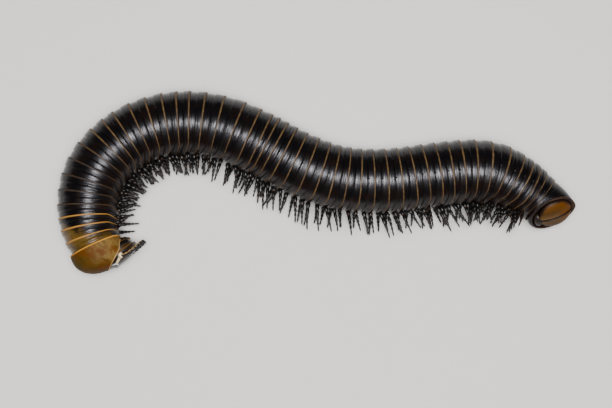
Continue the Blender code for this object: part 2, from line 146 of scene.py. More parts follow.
def superellipsoid(half: Point, power: float, rows: int = 24, columns: int = 32) -> Array:
    """Grid of loops round the second axis of a superellipsoid, its two poles left out.

    Formula: with tilt from pole to pole and turn round the axis, x = a c(tilt) c(turn), y = b s(tilt)
    and z = c c(tilt) s(turn), where c and s are cosine and sine raised to 2 / power with sign kept.

    Args:
        half: Half sizes along the three axes.
        power: 2 for an ellipsoid, more for a squarer body.
        rows: Loops from pole to pole.
        columns: Points on each loop.

    Returns:
        Array of rows by columns by three.
    """
    tilt = (np.linspace(-math.pi / 2, math.pi / 2, rows + 2)[1:-1])[:, None]
    turn = around(columns)[None, :]
    flat = signed_power(np.cos(tilt), 2 / power)
    x = half[0] * flat * signed_power(np.cos(turn), 2 / power)
    y = half[1] * signed_power(np.sin(tilt), 2 / power) * np.ones_like(turn)
    z = half[2] * flat * signed_power(np.sin(turn), 2 / power)
    return np.stack([x, y, z], axis=-1)


# Course of the body


@dataclass(frozen=True)
class Stance:
    """Points of the body's axis, with the tailward, dorsal and left directions there."""

    point: Array
    tailward: Array
    dorsal: Array
    left: Array

    def round_about(self, angle: Array, radius: Array, shift: Array) -> Array:
        """Points at an angle from mid-dorsum and a radius: p + s t + r (cos a d + sin a l)."""
        spoke = np.cos(angle)[..., None] * self.dorsal + np.sin(angle)[..., None] * self.left
        return self.point + shift[..., None] * self.tailward + radius[..., None] * spoke


@dataclass
class Course:
    """The curve that the body follows on the floor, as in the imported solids."""

    start: tuple[float, float] = (-37.36, -11.07)
    heading: Table = (
        (0, 117), (5.3, 94), (8, 86.9), (16, 50.3), (24.1, 22.2), (32.1, -1.5), (40.15, -22.3),
        (48.2, -29.8), (56.2, -19.4), (64.25, -1.2), (72.25, 8.8), (80.3, 5.2), (84.3, -6.5),
        (88.3, -27), (92.3, -30.5), (96.35, -38),
    )
    girth: Table = (
        (0, 4.3), (3, 4.88), (6.5, 5.3), (12, 5.5), (82, 5.53), (86, 5.48), (89, 5.23), (92.2, 4.88),
        (97, 3.8),
    )
    head_lift: Table = ((-8, 0.8), (0, 0.7), (6.5, 0))
    lean: Table = ((0, 88), (12, 82), (80, 82), (97, 115))
    tail_rise: Table = ((92, 0), (97, 27))
    floor_flat: float = 0.25
    interval: float = 0.1
    spare: float = 8
    smoothing: float = 4
    bend_span: float = 8
    settle_span: float = 2.2
    settle_spare: float = 0.01
    floor_gap: float = 0.005
    distance: Array = field(init=False, repr=False)
    points: Array = field(init=False, repr=False)
    slopes: Array = field(init=False, repr=False)

    def __post_init__(self) -> None:
        """Sums short steps along the heading and rise, and sets the axis at the height of its girth."""
        distance = np.arange(-self.spare, self.heading[-1][0] + 2 * self.spare, self.interval)
        heading = np.radians(read_table(self.heading, distance))
        rise = np.tan(np.radians(read_table(self.tail_rise, distance)))
        slope = np.stack([np.cos(heading), np.sin(heading), rise], axis=1) * self.interval
        points = np.cumsum(slope, axis=0)
        points -= [np.interp(0, distance, points[:, axis]) for axis in range(3)]
        points[:, :2] += self.start
        window = int(self.smoothing / self.interval)
        height = self.radius(distance) - self.floor_flat + read_table(self.head_lift, distance)
        height = np.convolve(np.pad(height, window, mode="edge"), np.ones(window) / window, mode="same")
        points[:, 2] += height[window:-window]
        self.distance = distance
        self.points = points
        self.slopes = unit(np.gradient(points, axis=0))

    def radius(self, distance: Array) -> Array:
        """Radius of the trunk at a distance from its front."""
        return read_table(self.girth, distance)

    def stance(self, distance: Array | float) -> Stance:
        """Axis points and directions at each distance.

        Formula: the side direction is square to the slope and level, the third is square to both, and
        the lean turns the two about the slope into the dorsal and left ones.

        Args:
            distance: Distances from the front of the trunk.

        Returns:
            The stance, with arrays of the distances' shape by three.
        """
        distance = np.asarray(distance, float)
        point, slope = (
            np.stack([np.interp(distance, self.distance, column) for column in kept.T], axis=-1)
            for kept in (self.points, self.slopes)
        )
        tailward = unit(slope)
        aside = unit(np.cross((0.0, 0.0, 1.0), tailward))
        above = np.cross(tailward, aside)
        lean = np.radians(read_table(self.lean, distance))[..., None]
        dorsal = aside * np.sin(lean) + above * np.cos(lean)
        left = above * np.sin(lean) - aside * np.cos(lean)
        return Stance(point, tailward, dorsal, left)

    def bend(self, distance: Array) -> Array:
        """Curvature, positive where the legs are on the inside of the bend.

        Args:
            distance: Distances from the front of the trunk.

        Returns:
            Radians turned for each millimetre, over the bend span about each distance.
        """
        half = self.bend_span / 2
        turned = read_table(self.heading, distance - half) - read_table(self.heading, distance + half)
        return np.radians(turned) / self.bend_span

    def settle(self, points: Array) -> Array:
        """Squeezes what would lie just under the floor upwards: z + sink (1 - (z + sink) / span)^2.

        Args:
            points: Points in the model's frame.

        Returns:
            The points, none lower than the floor gap.
        """
        sink = self.floor_flat + self.settle_spare
        depth = np.clip((points[..., 2] + sink) / self.settle_span, 0, 1)
        settled = points.copy()
        settled[..., 2] = np.maximum(points[..., 2] + sink * (1 - depth) ** 2, self.floor_gap)
        return settled


@dataclass(frozen=True)
class HeadFrame:
    """The head's own directions at the front of the trunk."""

    course: Course
    margin: float = 0.5
    raised: float = 7
    shift: Point = (0.5, -0.22, 0.0)
    tilt: float = 20
    centre: Point = (1.95, 3.3, 0.0)

    def directions(self) -> tuple[Array, Array, Array]:
        """The head's directions, the trunk's own ones raised by an angle.

        Returns:
            Faceward, bellyward and left directions.
        """
        stance = self.course.stance(self.margin)
        raised = math.radians(self.raised)
        faceward = math.sin(raised) * stance.dorsal - math.cos(raised) * stance.tailward
        bellyward = -math.cos(raised) * stance.dorsal - math.sin(raised) * stance.tailward
        return faceward, bellyward, stance.left

    def place(self, points: Array) -> Array:
        """From forward, bellyward and left distances to the model's frame."""
        moved = np.asarray(points, float) + self.shift
        return self.course.stance(self.margin).point + moved @ np.stack(self.directions())

    def lay(self, points: Array) -> Array:
        """As place, with what would lie under the floor squeezed upwards."""
        return self.course.settle(self.place(points))

    def turned(self, points: Array, angle: float) -> Array:
        """Turns points about the left direction: (x cos - y sin, x sin + y cos, z).

        Args:
            points: Points whose first distance is out or forward and whose second is down.
            angle: Angle in degrees, from the first towards the second.

        Returns:
            The turned points.
        """
        cosine, sine = math.cos(math.radians(angle)), math.sin(math.radians(angle))
        first = points[..., 0] * cosine - points[..., 1] * sine
        second = points[..., 0] * sine + points[..., 1] * cosine
        return np.stack([first, second, points[..., 2]], axis=-1)

    def tilted(self, points: Array) -> Array:
        """From distances out of the face, down it and left of its centre to forward, down and left."""
        return self.turned(points, self.tilt) + self.centre

    def untilted(self, points: Array) -> Array:
        """The reverse of tilted."""
        return self.turned(points - np.array(self.centre), -self.tilt)


# Meshes


class Skin:
    """Closed grids of points gathered into the one mesh of a piece, with named marks on its points."""

    def __init__(self) -> None:
        """Starts an empty skin."""
        self.points: list[Array] = []
        self.faces: list[Array] = []
        self.marks: list[dict[str, Array]] = []
        self.count = 0

    def add(self, grids: Array, ends: Ends = Ends.FAN, **marks: Array | float) -> None:
        """Adds one closed grid, or a stack of them.

        Each grid is rows of closed loops. Its faces are turned outwards by the sign of its volume, the
        sum over its triangles of a . (b x c).

        Args:
            grids: Rows by columns by three, or a stack of such grids.
            ends: How the first and last rows are closed.
            marks: Numbers kept on the points, each of the grid's shape or one that spreads to it.
        """
        grids = np.asarray(grids, float)
        if grids.ndim == 3:
            grids = grids[None]
        kinds, rows, columns = grids.shape[:3]
        index = np.arange(kinds * rows * columns).reshape(kinds, rows, columns)
        if ends is Ends.LOOP:
            low, high = index, np.roll(index, -1, axis=1)
        else:
            low, high = index[:, :-1], index[:, 1:]
        quads = np.stack([low, np.roll(low, -1, axis=2), np.roll(high, -1, axis=2), high], axis=-1)
        quads = quads.reshape(kinds, -1, 4)
        points = grids.reshape(-1, 3)
        values = {name: np.broadcast_to(value, grids.shape[:3]) for name, value in marks.items()}
        flat = {name: value.reshape(-1) for name, value in values.items()}
        fans = np.zeros((kinds, 0, 3), int)
        if ends is Ends.FAN:
            tips = grids[:, (0, -1)].mean(axis=2)
            number = len(points) + np.arange(kinds * 2).reshape(kinds, 2, 1)
            tip = np.broadcast_to(number, (kinds, 2, columns))
            rim = index[:, (0, -1)]
            beyond = np.roll(rim, -1, axis=2)
            first = np.stack([tip[:, 0], beyond[:, 0], rim[:, 0]], axis=-1)
            last = np.stack([tip[:, 1], rim[:, 1], beyond[:, 1]], axis=-1)
            fans = np.concatenate([first, last], axis=1)
            points = np.concatenate([points, tips.reshape(-1, 3)])
            flat = {
                name: np.concatenate([flat[name], value[:, (0, -1)].mean(axis=2).reshape(-1)])
                for name, value in values.items()
            }
        a, b, c, d = (points[quads[..., corner]] for corner in range(4))
        volume = np.einsum("kni,kni->k", a, np.cross(b, c) + np.cross(c, d))
        if fans.size:
            a, b, c = (points[fans[..., corner]] for corner in range(3))
            volume = volume + np.einsum("kni,kni->k", a, np.cross(b, c))
        inside_out = volume < 0
        quads[inside_out] = quads[inside_out][..., ::-1]
        fans[inside_out] = fans[inside_out][..., ::-1]
        self.points.append(points)
        self.marks.append(flat)
        self.faces += [quads.reshape(-1, 4) + self.count, fans.reshape(-1, 3) + self.count]
        self.count += len(points)

    def make(self, name: str) -> bpy.types.Object:
        """Makes the object, smooth all over, with its marks as attributes.

        Args:
            name: Name of the object and its mesh.

        Returns:
            The object, in the scene.
        """
        mesh = bpy.data.meshes.new(name)
        faces = [face for block in self.faces for face in block.tolist()]
        mesh.from_pydata((np.concatenate(self.points) * MM).tolist(), [], faces)
        names = sorted({key for marks in self.marks for key in marks})
        for key in names:
            blocks = zip(self.marks, self.points)
            values = np.concatenate([marks.get(key, np.zeros(len(block))) for marks, block in blocks])
            attribute = mesh.attributes.new(key, "FLOAT", "POINT")
            attribute.data.foreach_set("value", values.astype(np.float32))
        mesh.shade_smooth()
        mesh.update()
        made = bpy.data.objects.new(name, mesh)
        bpy.context.scene.collection.objects.link(made)
        return made


def tube(path: Array, radius: Array, sides: int, aside: Array) -> Array:
    """Loops carried along paths: p + r (cos a u + sin a v), with v = lie x u.

    The direction u is the given side direction made square to the path.

    Args:
        path: Stack of paths by stations by three.
        radius: Radius at each station, of a shape that spreads to the stack's.
        sides: Points on each loop.
        aside: A direction that isn't along the path, of a shape that spreads to the paths'.

    Returns:
        Stack of grids.
    """
    lie = unit(np.gradient(path, axis=-2))
    across = unit(aside - np.sum(lie * aside, axis=-1, keepdims=True) * lie)
    over = np.cross(lie, across)
    angle = around(sides)[:, None]
    spokes = np.cos(angle) * across[..., None, :] + np.sin(angle) * over[..., None, :]
    return path[..., None, :] + np.asarray(radius)[..., None, None] * spokes


def bristles(root: Array, way: Array, aside: Array, reach: Triple, radii: Triple) -> Array:
    """Stiff hairs of three sides and three stations, kept off the floor: p = root + reach way.

    Args:
        root: Points that they grow from.
        way: Directions that they grow in, of any length.
        aside: Directions that aren't along them.
        reach: Distance of each station from the root.
        radii: Radius at each station.

    Returns:
        Stack of grids.
    """
    path = root[:, None] + np.array(reach)[:, None] * unit(way)[:, None]
    path[..., 2] = np.maximum(path[..., 2], BRISTLE_HEIGHT)
    return tube(path, np.array(radii), 3, aside[:, None])


# Shader maths


class Wire:
    """An output of a shader node that takes part in sums."""

    def __init__(self, bench: "Bench", socket: bpy.types.NodeSocket) -> None:
        """Keeps the socket and the bench that it belongs to."""
        self.bench = bench
        self.socket = socket

    def _math(self, operation: str, *others: "Wire | float") -> "Wire":
        """A Math node on this wire and others."""
        return self.bench.node("ShaderNodeMath", {"operation": operation}, dict(enumerate((self, *others))))

    def __add__(self, other: "Wire | float") -> "Wire":
        """Sum."""
        return self._math("ADD", other)

    __radd__ = __add__

    def __sub__(self, other: "Wire | float") -> "Wire":
        """Difference."""
        return self._math("SUBTRACT", other)

    def __rsub__(self, other: float) -> "Wire":
        """Difference, reflected."""
        return self.bench.node("ShaderNodeMath", {"operation": "SUBTRACT"}, {0: other, 1: self})

    def __mul__(self, other: "Wire | float") -> "Wire":
        """Product."""
        return self._math("MULTIPLY", other)

    __rmul__ = __mul__

    def wave(self) -> "Wire":
        """Sine."""
        return self._math("SINE")

    def clamped(self) -> "Wire":
        """Kept between 0 and 1."""
        return self.step(0, 1, smooth=False)

    def step(self, low: float, high: float, smooth: bool = True) -> "Wire":
        """Step from 0 at low to 1 at high, smooth or straight."""
        settings = {"interpolation_type": "SMOOTHSTEP" if smooth else "LINEAR"}
        return self.bench.node("ShaderNodeMapRange", settings, {0: self, 1: low, 2: high})

    def hump(self, middle: float, width: float) -> "Wire":
        """1 at a middle, falling smoothly to 0 a width away on either side."""
        return 1 - (self - middle)._math("ABSOLUTE").step(0, width)


class Bench:
    """The node tree of one material while it is put together."""

    def __init__(self, name: str) -> None:
        """Makes a new material with its Principled shader.

        Args:
            name: Name of the material.
        """
        self.material = bpy.data.materials.new(name)
        self.material.use_nodes = True
        self.tree = self.material.node_tree
        self.shader = self.tree.nodes["Principled BSDF"]
        self.spot = self._millimetres()

    def node(
        self, kind: str, settings: dict[str, object], sockets: dict[int | str, object], out: int = 0,
    ) -> Wire:
        """Adds a node.

        Args:
            kind: The node's type.
            settings: Its settings by name, set first.
            sockets: Values or wires of its inputs, by number or name.
            out: Number of the output wanted.

        Returns:
            That output as a wire.
        """
        made = self.tree.nodes.new(kind)
        for name, value in settings.items():
            setattr(made, name, value)
        for name, value in sockets.items():
            self.feed(made.inputs[name], value)
        return Wire(self, made.outputs[out])

    def feed(self, socket: bpy.types.NodeSocket, value: object) -> None:
        """Sets an input to a value, or links it to a wire.

        Args:
            socket: The input.
            value: A wire, a colour, a vector or a number.
        """
        if isinstance(value, Wire):
            self.tree.links.new(value.socket, socket)
        elif isinstance(value, tuple) and socket.type == "RGBA":
            socket.default_value = (*value, 1)
        else:
            socket.default_value = value

    def _millimetres(self) -> Wire:
        """Object coordinates in millimetres."""
        place = self.node("ShaderNodeTexCoord", {}, {}, 3)
        return self.node("ShaderNodeVectorMath", {"operation": "SCALE"}, {0: place, "Scale": 1 / MM})

    def mark(self, name: str) -> Wire:
        """A number kept on the mesh's points."""
        return self.node("ShaderNodeAttribute", {"attribute_name": name}, {}, 2)

    def noise(self, size: float, detail: float = 3, rough: float = 0.55, where: Wire | None = None) -> Wire:
        """Noise of 0 to 1 with features of a size in millimetres."""
        sockets = {"Vector": where or self.spot, "Scale": 1 / size, "Detail": detail, "Roughness": rough}
        return self.node("ShaderNodeTexNoise", {}, sockets)

    def triple(self, x: Wire | float, y: Wire | float, z: Wire | float) -> Wire:
        """A vector of three numbers."""
        return self.node("ShaderNodeCombineXYZ", {}, {0: x, 1: y, 2: z})

    def mix(self, share: Wire | float, first: Wire | Colour, second: Wire | Colour) -> Wire:
        """Colour between two, by a share of the second."""
        return self.node("ShaderNodeMix", {"data_type": "RGBA"}, {0: share, 6: first, 7: second}, 2)

    def relief(self, height: Wire, depth: float) -> Wire:
        """A normal from a height of 0 to 1 that stands for a depth in millimetres."""
        return self.node("ShaderNodeBump", {}, {"Strength": 1.0, "Distance": depth * MM, "Height": height})

    def finish(self, **sockets: Wire | float | Colour) -> bpy.types.Material:
        """Sets the shader's inputs.

        Args:
            sockets: Values or wires, by input name with underscores for spaces.

        Returns:
            The material.
        """
        for name, value in sockets.items():
            self.feed(self.shader.inputs[name.replace("_", " ")], value)
        return self.material


@dataclass(frozen=True)
class Finish:
    """A surface finish that mixes its own material."""

    name: str

    def mix(self) -> bpy.types.Material:
        """Makes the material and returns it."""
        raise NotImplementedError


@lru_cache(maxsize=None)
def mixed(finish: Finish) -> bpy.types.Material:
    """The material of a finish, made once."""
    return finish.mix()


@dataclass(frozen=True)
class RingHorn(Finish):
    """Glossy black horn of the rings with a golden rear margin, olive over the first of them."""

    name: str = "ring_horn"
    black: Colour = (0.0018, 0.0016, 0.0019)
    umber: Colour = (0.0060, 0.0028, 0.0016)
    gold: Colour = (0.078, 0.046, 0.014)
    brown: Colour = (0.034, 0.018, 0.0065)
    amber: Colour = (0.25, 0.118, 0.018)
    olive: Colour = (0.062, 0.035, 0.0065)
    gloss: float = 0.185
    specular: float = 0.26
    tint: Colour = (0.93, 0.92, 1.0)
    relief_depth: float = 0.04
    margin_width: float = 0.24
    stria_gap: float = 0.17
    pore_place: float = 7.9
    pore_share: float = 0.49

    def mix(self) -> bpy.types.Material:
        """Black under bands: the margin by distance from the rear edge, the olive by place and turn.

        Returns:
            The material.
        """
        bench = Bench(self.name)
        rim, share, back = (bench.mark(name) for name in ("rim", "share", "back"))
        along, number, arc = (bench.mark(name) for name in ("along", "number", "arc"))
        cloud = bench.noise(1.6)
        fine = bench.noise(0.35, 4)
        warmth = (cloud - 0.45) * 2.2 + (0.1 - back).step(0.1, 1.1) * 0.5
        ground = bench.mix(warmth, self.black, self.umber)
        tint = back + (cloud - 0.5) * 1.2 - (along - 1.3) * 0.5 + 0.85
        mottle = bench.mix(bench.noise(1.5, 4).step(0.42, 0.9), self.olive, self.umber)
        ground = bench.mix(tint.step(0.0, 0.7) * 0.92, ground, mottle)
        edge = rim + (fine - 0.5) * 0.05 - back * 0.035
        margin = 1 - edge.step(self.margin_width - 0.05, self.margin_width + 0.06)
        fade = (back + fine * 0.06).step(-0.97, -0.86)
        margin_share = (margin * fade * (0.8 + cloud * 0.4)).clamped()
        metal = bench.mix(bench.noise(0.7, 3).step(0.34, 0.66), self.gold, self.brown)
        metal = bench.mix((0.25 - back).step(0.0, 1.1) * 0.55, metal, self.brown)
        metal = bench.mix((1 - along.step(5.4, 7.2)) * 0.9, metal, self.amber)
        dull = along.step(6.0, 7.2) * (1 - along.step(13.0, 19.0)) * back.step(-0.8, -0.25)
        metal = bench.mix(dull * 0.8, metal, self.umber)
        metal = bench.mix(rim.step(self.margin_width - 0.1, self.margin_width) * 0.55, metal, self.umber)
        colour = bench.mix(margin_share, ground, metal)
        pore = arc.hump(self.pore_place, 0.17) + arc.hump(-self.pore_place, 0.17)
        pore = pore * share.hump(self.pore_share, 0.07) * along.step(7.2, 7.4)
        colour = bench.mix(pore.clamped(), colour, self.black)
        prozonite = (1 - share.step(0.36, 0.40)) * share.step(0.0, 0.06)
        striae = (rim * (FULL_TURN / self.stria_gap) + fine * 2).wave() * 0.5 + 0.5
        flank = (0.35 - back).step(0.0, 0.7) * (1 - prozonite) * rim.step(0.2, 0.4)
        lengthways = bench.noise(1.0, 1, where=bench.triple(arc * 2.6, rim * 0.25, number))
        swells = bench.noise(1.0, 1, where=bench.triple(arc * 0.16, rim * 2.6, number * 7))
        creases = bench.noise(1.0, 0, where=bench.triple(arc * 0.22, rim * 4.0, number * 3))
        creases = creases.hump(0.5, 0.09)
        pits = bench.noise(0.12, 2).step(0.58, 0.72)
        relief = striae * prozonite * 0.15 + lengthways * flank * 0.25 + swells * 0.75 + cloud * 0.2
        relief = relief - creases * 0.4 - pits * 0.06 - pore * 2.5
        gloss = self.gloss + fine * 0.07 + margin_share * 0.3 + flank * 0.08
        gloss = gloss + (bench.noise(3.2, 2) - 0.5) * 0.06
        return bench.finish(
            Base_Color=colour, Roughness=gloss, Normal=bench.relief(relief, self.relief_depth),
            Specular_IOR_Level=self.specular, Specular_Tint=self.tint,
        )


@dataclass(frozen=True)
class ShieldHorn(Finish):
    """Olive and gold horn of the collum, mottled, with a pale front rim and a golden rear one. Its dorsal
    side turns olive: a greener tone of its own, and darker, which partly paints shade.
    """

    name: str = "shield_horn"
    olive: Colour = (0.040, 0.0195, 0.0018)
    honey: Colour = (0.098, 0.056, 0.0140)
    rust: Colour = (0.056, 0.0165, 0.0005)
    moss: Colour = (0.025, 0.0155, 0.0010)
    pale: Colour = (0.42, 0.25, 0.09)
    amber: Colour = (0.33, 0.150, 0.020)
    specular: float = 0.05
    relief_depth: float = 0.05

    def mix(self) -> bpy.types.Material:
        """Clouds of four tones, then a line along either edge by distance from it.

        Returns:
            The material.
        """
        bench = Bench(self.name)
        edge, rear, back = (bench.mark(name) for name in ("edge", "rear", "back"))
        cloud = bench.noise(2.2, 4)
        fine = bench.noise(0.5, 5, 0.65)
        streak = bench.noise(1.0, 3, where=bench.triple(back * 7, rear * 0.35, 0.0))
        # Olive towards mid-dorsum: a greener tone, and its darker value is painted shade on the side that
        # turns from the light.
        colour = bench.mix((back + cloud - 0.5).step(-0.2, 0.8), self.honey, self.olive)
        colour = bench.mix((cloud + fine * 0.5).step(0.70, 0.92) * 0.85, colour, self.rust)
        patches = bench.noise(1.3, 3).step(0.5, 0.75) * back.step(0.3, 1.0)
        colour = bench.mix(patches, colour, self.moss)
        colour = bench.mix(streak.step(0.48, 0.72) * 0.7, colour, self.moss)
        colour = bench.mix((1 - rear.step(0.20, 0.32)) * 0.95, colour, self.amber)
        colour = bench.mix((1 - edge.step(0.12, 0.22)) * 0.95, colour, self.pale)
        relief = fine * 0.5 + cloud * 0.5 + streak * 0.4 + (edge * 11).wave() * 0.08
        return bench.finish(
            Base_Color=colour, Roughness=0.50 + fine * 0.16, Normal=bench.relief(relief, self.relief_depth),
            Specular_IOR_Level=self.specular,
        )


@dataclass(frozen=True)
class LimbHorn(Finish):
    """Black-brown horn of legs and feelers with pale skin at the joints."""

    name: str = "limb_horn"
    black: Colour = (0.0016, 0.0013, 0.0014)
    brown: Colour = (0.0055, 0.0026, 0.0017)
    skin: Colour = (0.024, 0.012, 0.006)
    straw: Colour = (0.34, 0.21, 0.085)
    specular: float = 0.25
    relief_depth: float = 0.02

    def mix(self) -> bpy.types.Material:
        """Brown towards the tip, skin where the mark "joint" is high, straw by the mark "line".

        Returns:
            The material.
        """
        bench = Bench(self.name)
        joint, reach, line = (bench.mark(name) for name in ("joint", "reach", "line"))
        cloud = bench.noise(0.5, 3)
        colour = bench.mix((reach + cloud * 0.6).step(0.75, 1.35), self.black, self.brown)
        colour = bench.mix((joint.step(0.45, 1.0) * (0.35 + cloud * 0.9)).clamped(), colour, self.skin)
        colour = bench.mix(line * (0.4 + cloud), colour, self.straw)
        normal = bench.relief(bench.noise(0.12, 3), self.relief_depth)
        return bench.finish(
            Base_Color=colour, Roughness=0.28 + cloud * 0.16, Normal=normal,
            Specular_IOR_Level=self.specular,
        )


@dataclass(frozen=True)
class HeadHorn(Finish):
    """Dark horn of the head, amber at its edges, with cream where it is marked: pale skin, and a strip of
    painted highlight along the head's edge.
    """

    name: str = "head_horn"
    black: Colour = (0.0022, 0.0018, 0.0020)
    brown: Colour = (0.020, 0.0105, 0.003)
    amber: Colour = (0.16, 0.078, 0.018)
    cream: Colour = (0.66, 0.53, 0.32)
    gloss: float = 0.27
    specular: float = 0.26
    relief_depth: float = 0.04

    def mix(self) -> bpy.types.Material:
        """Black to brown by the mark "brown", amber by "gold" and cream by "cream".

        Returns:
            The material.
        """
        bench = Bench(self.name)
        cloud = bench.noise(0.9, 4)
        fine = bench.noise(0.22, 3)
        colour = bench.mix((bench.mark("brown") + cloud - 0.5).clamped(), self.black, self.brown)
        colour = bench.mix((bench.mark("gold") * (0.7 + fine * 0.6)).clamped(), colour, self.amber)
        cream = bench.mark("cream")
        colour = bench.mix((cream * (0.65 + fine * 0.6)).clamped(), colour, self.cream)
        normal = bench.relief(fine * 0.4 + cloud * 0.6, self.relief_depth)
        gloss = self.gloss + fine * 0.12 + cream * 0.2
        return bench.finish(
            Base_Color=colour, Roughness=gloss, Normal=normal, Specular_IOR_Level=self.specular,
        )


@dataclass(frozen=True)
class EyeLens(Finish):
    """Dark glassy lenses on a pale grey patch, whose paleness also paints the glints of the lenses."""

    name: str = "eye_lens"
    lens: Colour = (0.008, 0.007, 0.010)
    patch: Colour = (0.27, 0.255, 0.24)
    relief_depth: float = 0.012

    def mix(self) -> bpy.types.Material:
        """Glassy where the mark "lens" is 1.

        Returns:
            The material.
        """
        bench = Bench(self.name)
        lens = bench.mark("lens")
        # The pale grey between the lenses is partly painted highlight: it stands in for their glints.
        colour = bench.mix(lens, self.patch, self.lens)
        normal = bench.relief(bench.noise(0.1, 2), self.relief_depth)
        return bench.finish(
            Base_Color=colour, Roughness=0.42 - lens * 0.34, Normal=normal, Coat_Weight=lens * 0.8,
        )


@dataclass(frozen=True)
class ValveHorn(Finish):
    """Khaki horn of the anal valves: paler by the cleft, orange towards the back, dark at the border, with
    painted shade in the cleft.
    """

    name: str = "valve_horn"
    khaki: Colour = (0.034, 0.0165, 0.0040)
    straw: Colour = (0.058, 0.031, 0.011)
    orange: Colour = (0.058, 0.019, 0.0005)
    umber: Colour = (0.005, 0.0018, 0.0011)
    specular: float = 0.09
    relief_depth: float = 0.05

    def mix(self) -> bpy.types.Material:
        """Tones by distance from the cleft, by place towards the back and by nearness to the border, and
        painted shade along the cleft.

        Returns:
            The material.
        """
        bench = Bench(self.name)
        cleft, border, up = (bench.mark(name) for name in ("cleft", "border", "up"))
        cloud = bench.noise(1.1, 4)
        fine = bench.noise(0.25, 4)
        colour = bench.mix(1 - (cleft + cloud * 0.5).step(0.5, 1.6), self.khaki, self.straw)
        colour = bench.mix((up + cloud * 0.8).step(0.35, 1.0), colour, self.orange)
        rusty = (cleft + fine * 0.5).step(1.3, 2.4) * 0.7
        colour = bench.mix(rusty, colour, self.orange)
        blotch = (1 - (border + cloud * 0.9).step(0.55, 0.9)) * bench.noise(0.5, 4).step(0.40, 0.60)
        colour = bench.mix(blotch * 0.8, colour, self.umber)
        colour = bench.mix(1 - (border + cloud * 0.25).step(0.16, 0.42), colour, self.umber)
        # Painted shade: dark where the valve drops into the cleft between the two valves.
        colour = bench.mix(1 - (cleft + fine * 0.05).step(0.12, 0.26), colour, self.umber)
        normal = bench.relief(fine * 0.6 + cloud * 0.4, self.relief_depth)
        return bench.finish(
            Base_Color=colour, Roughness=0.42 + fine * 0.16, Normal=normal,
            Specular_IOR_Level=self.specular,
        )


@dataclass(frozen=True)
class FloorPaper(Finish):
    """Matt pale paper of the floor."""

    name: str = "floor_paper"
    pale: Colour = (0.47, 0.459, 0.445)
    shade: Colour = (0.445, 0.435, 0.421)
    roughness: float = 0.9
    cloud_size: float = 40

    def mix(self) -> bpy.types.Material:
        """A faint cloud between two near tones.

        Returns:
            The material.
        """
        bench = Bench(self.name)
        colour = bench.mix(bench.noise(self.cloud_size, 3), self.pale, self.shade)
        return bench.finish(Base_Color=colour, Roughness=self.roughness)


def present(skin: Skin, name: str, finish: Finish, slot: Slot, *nodes: str) -> bpy.types.Object:
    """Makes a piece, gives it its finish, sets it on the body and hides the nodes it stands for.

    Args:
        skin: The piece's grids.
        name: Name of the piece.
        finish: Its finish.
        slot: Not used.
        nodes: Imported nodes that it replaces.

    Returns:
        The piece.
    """
    piece = skin.make(name)
    piece.data.materials.append(mixed(finish))
    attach(piece, BODY)
    if nodes:
        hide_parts(*nodes)
    counts = len(piece.data.vertices), len(piece.data.polygons)
    log.info("%s: %d points, %d faces, stands for %s", name, *counts, ", ".join(nodes) or "nothing")
    return piece


# Trunk


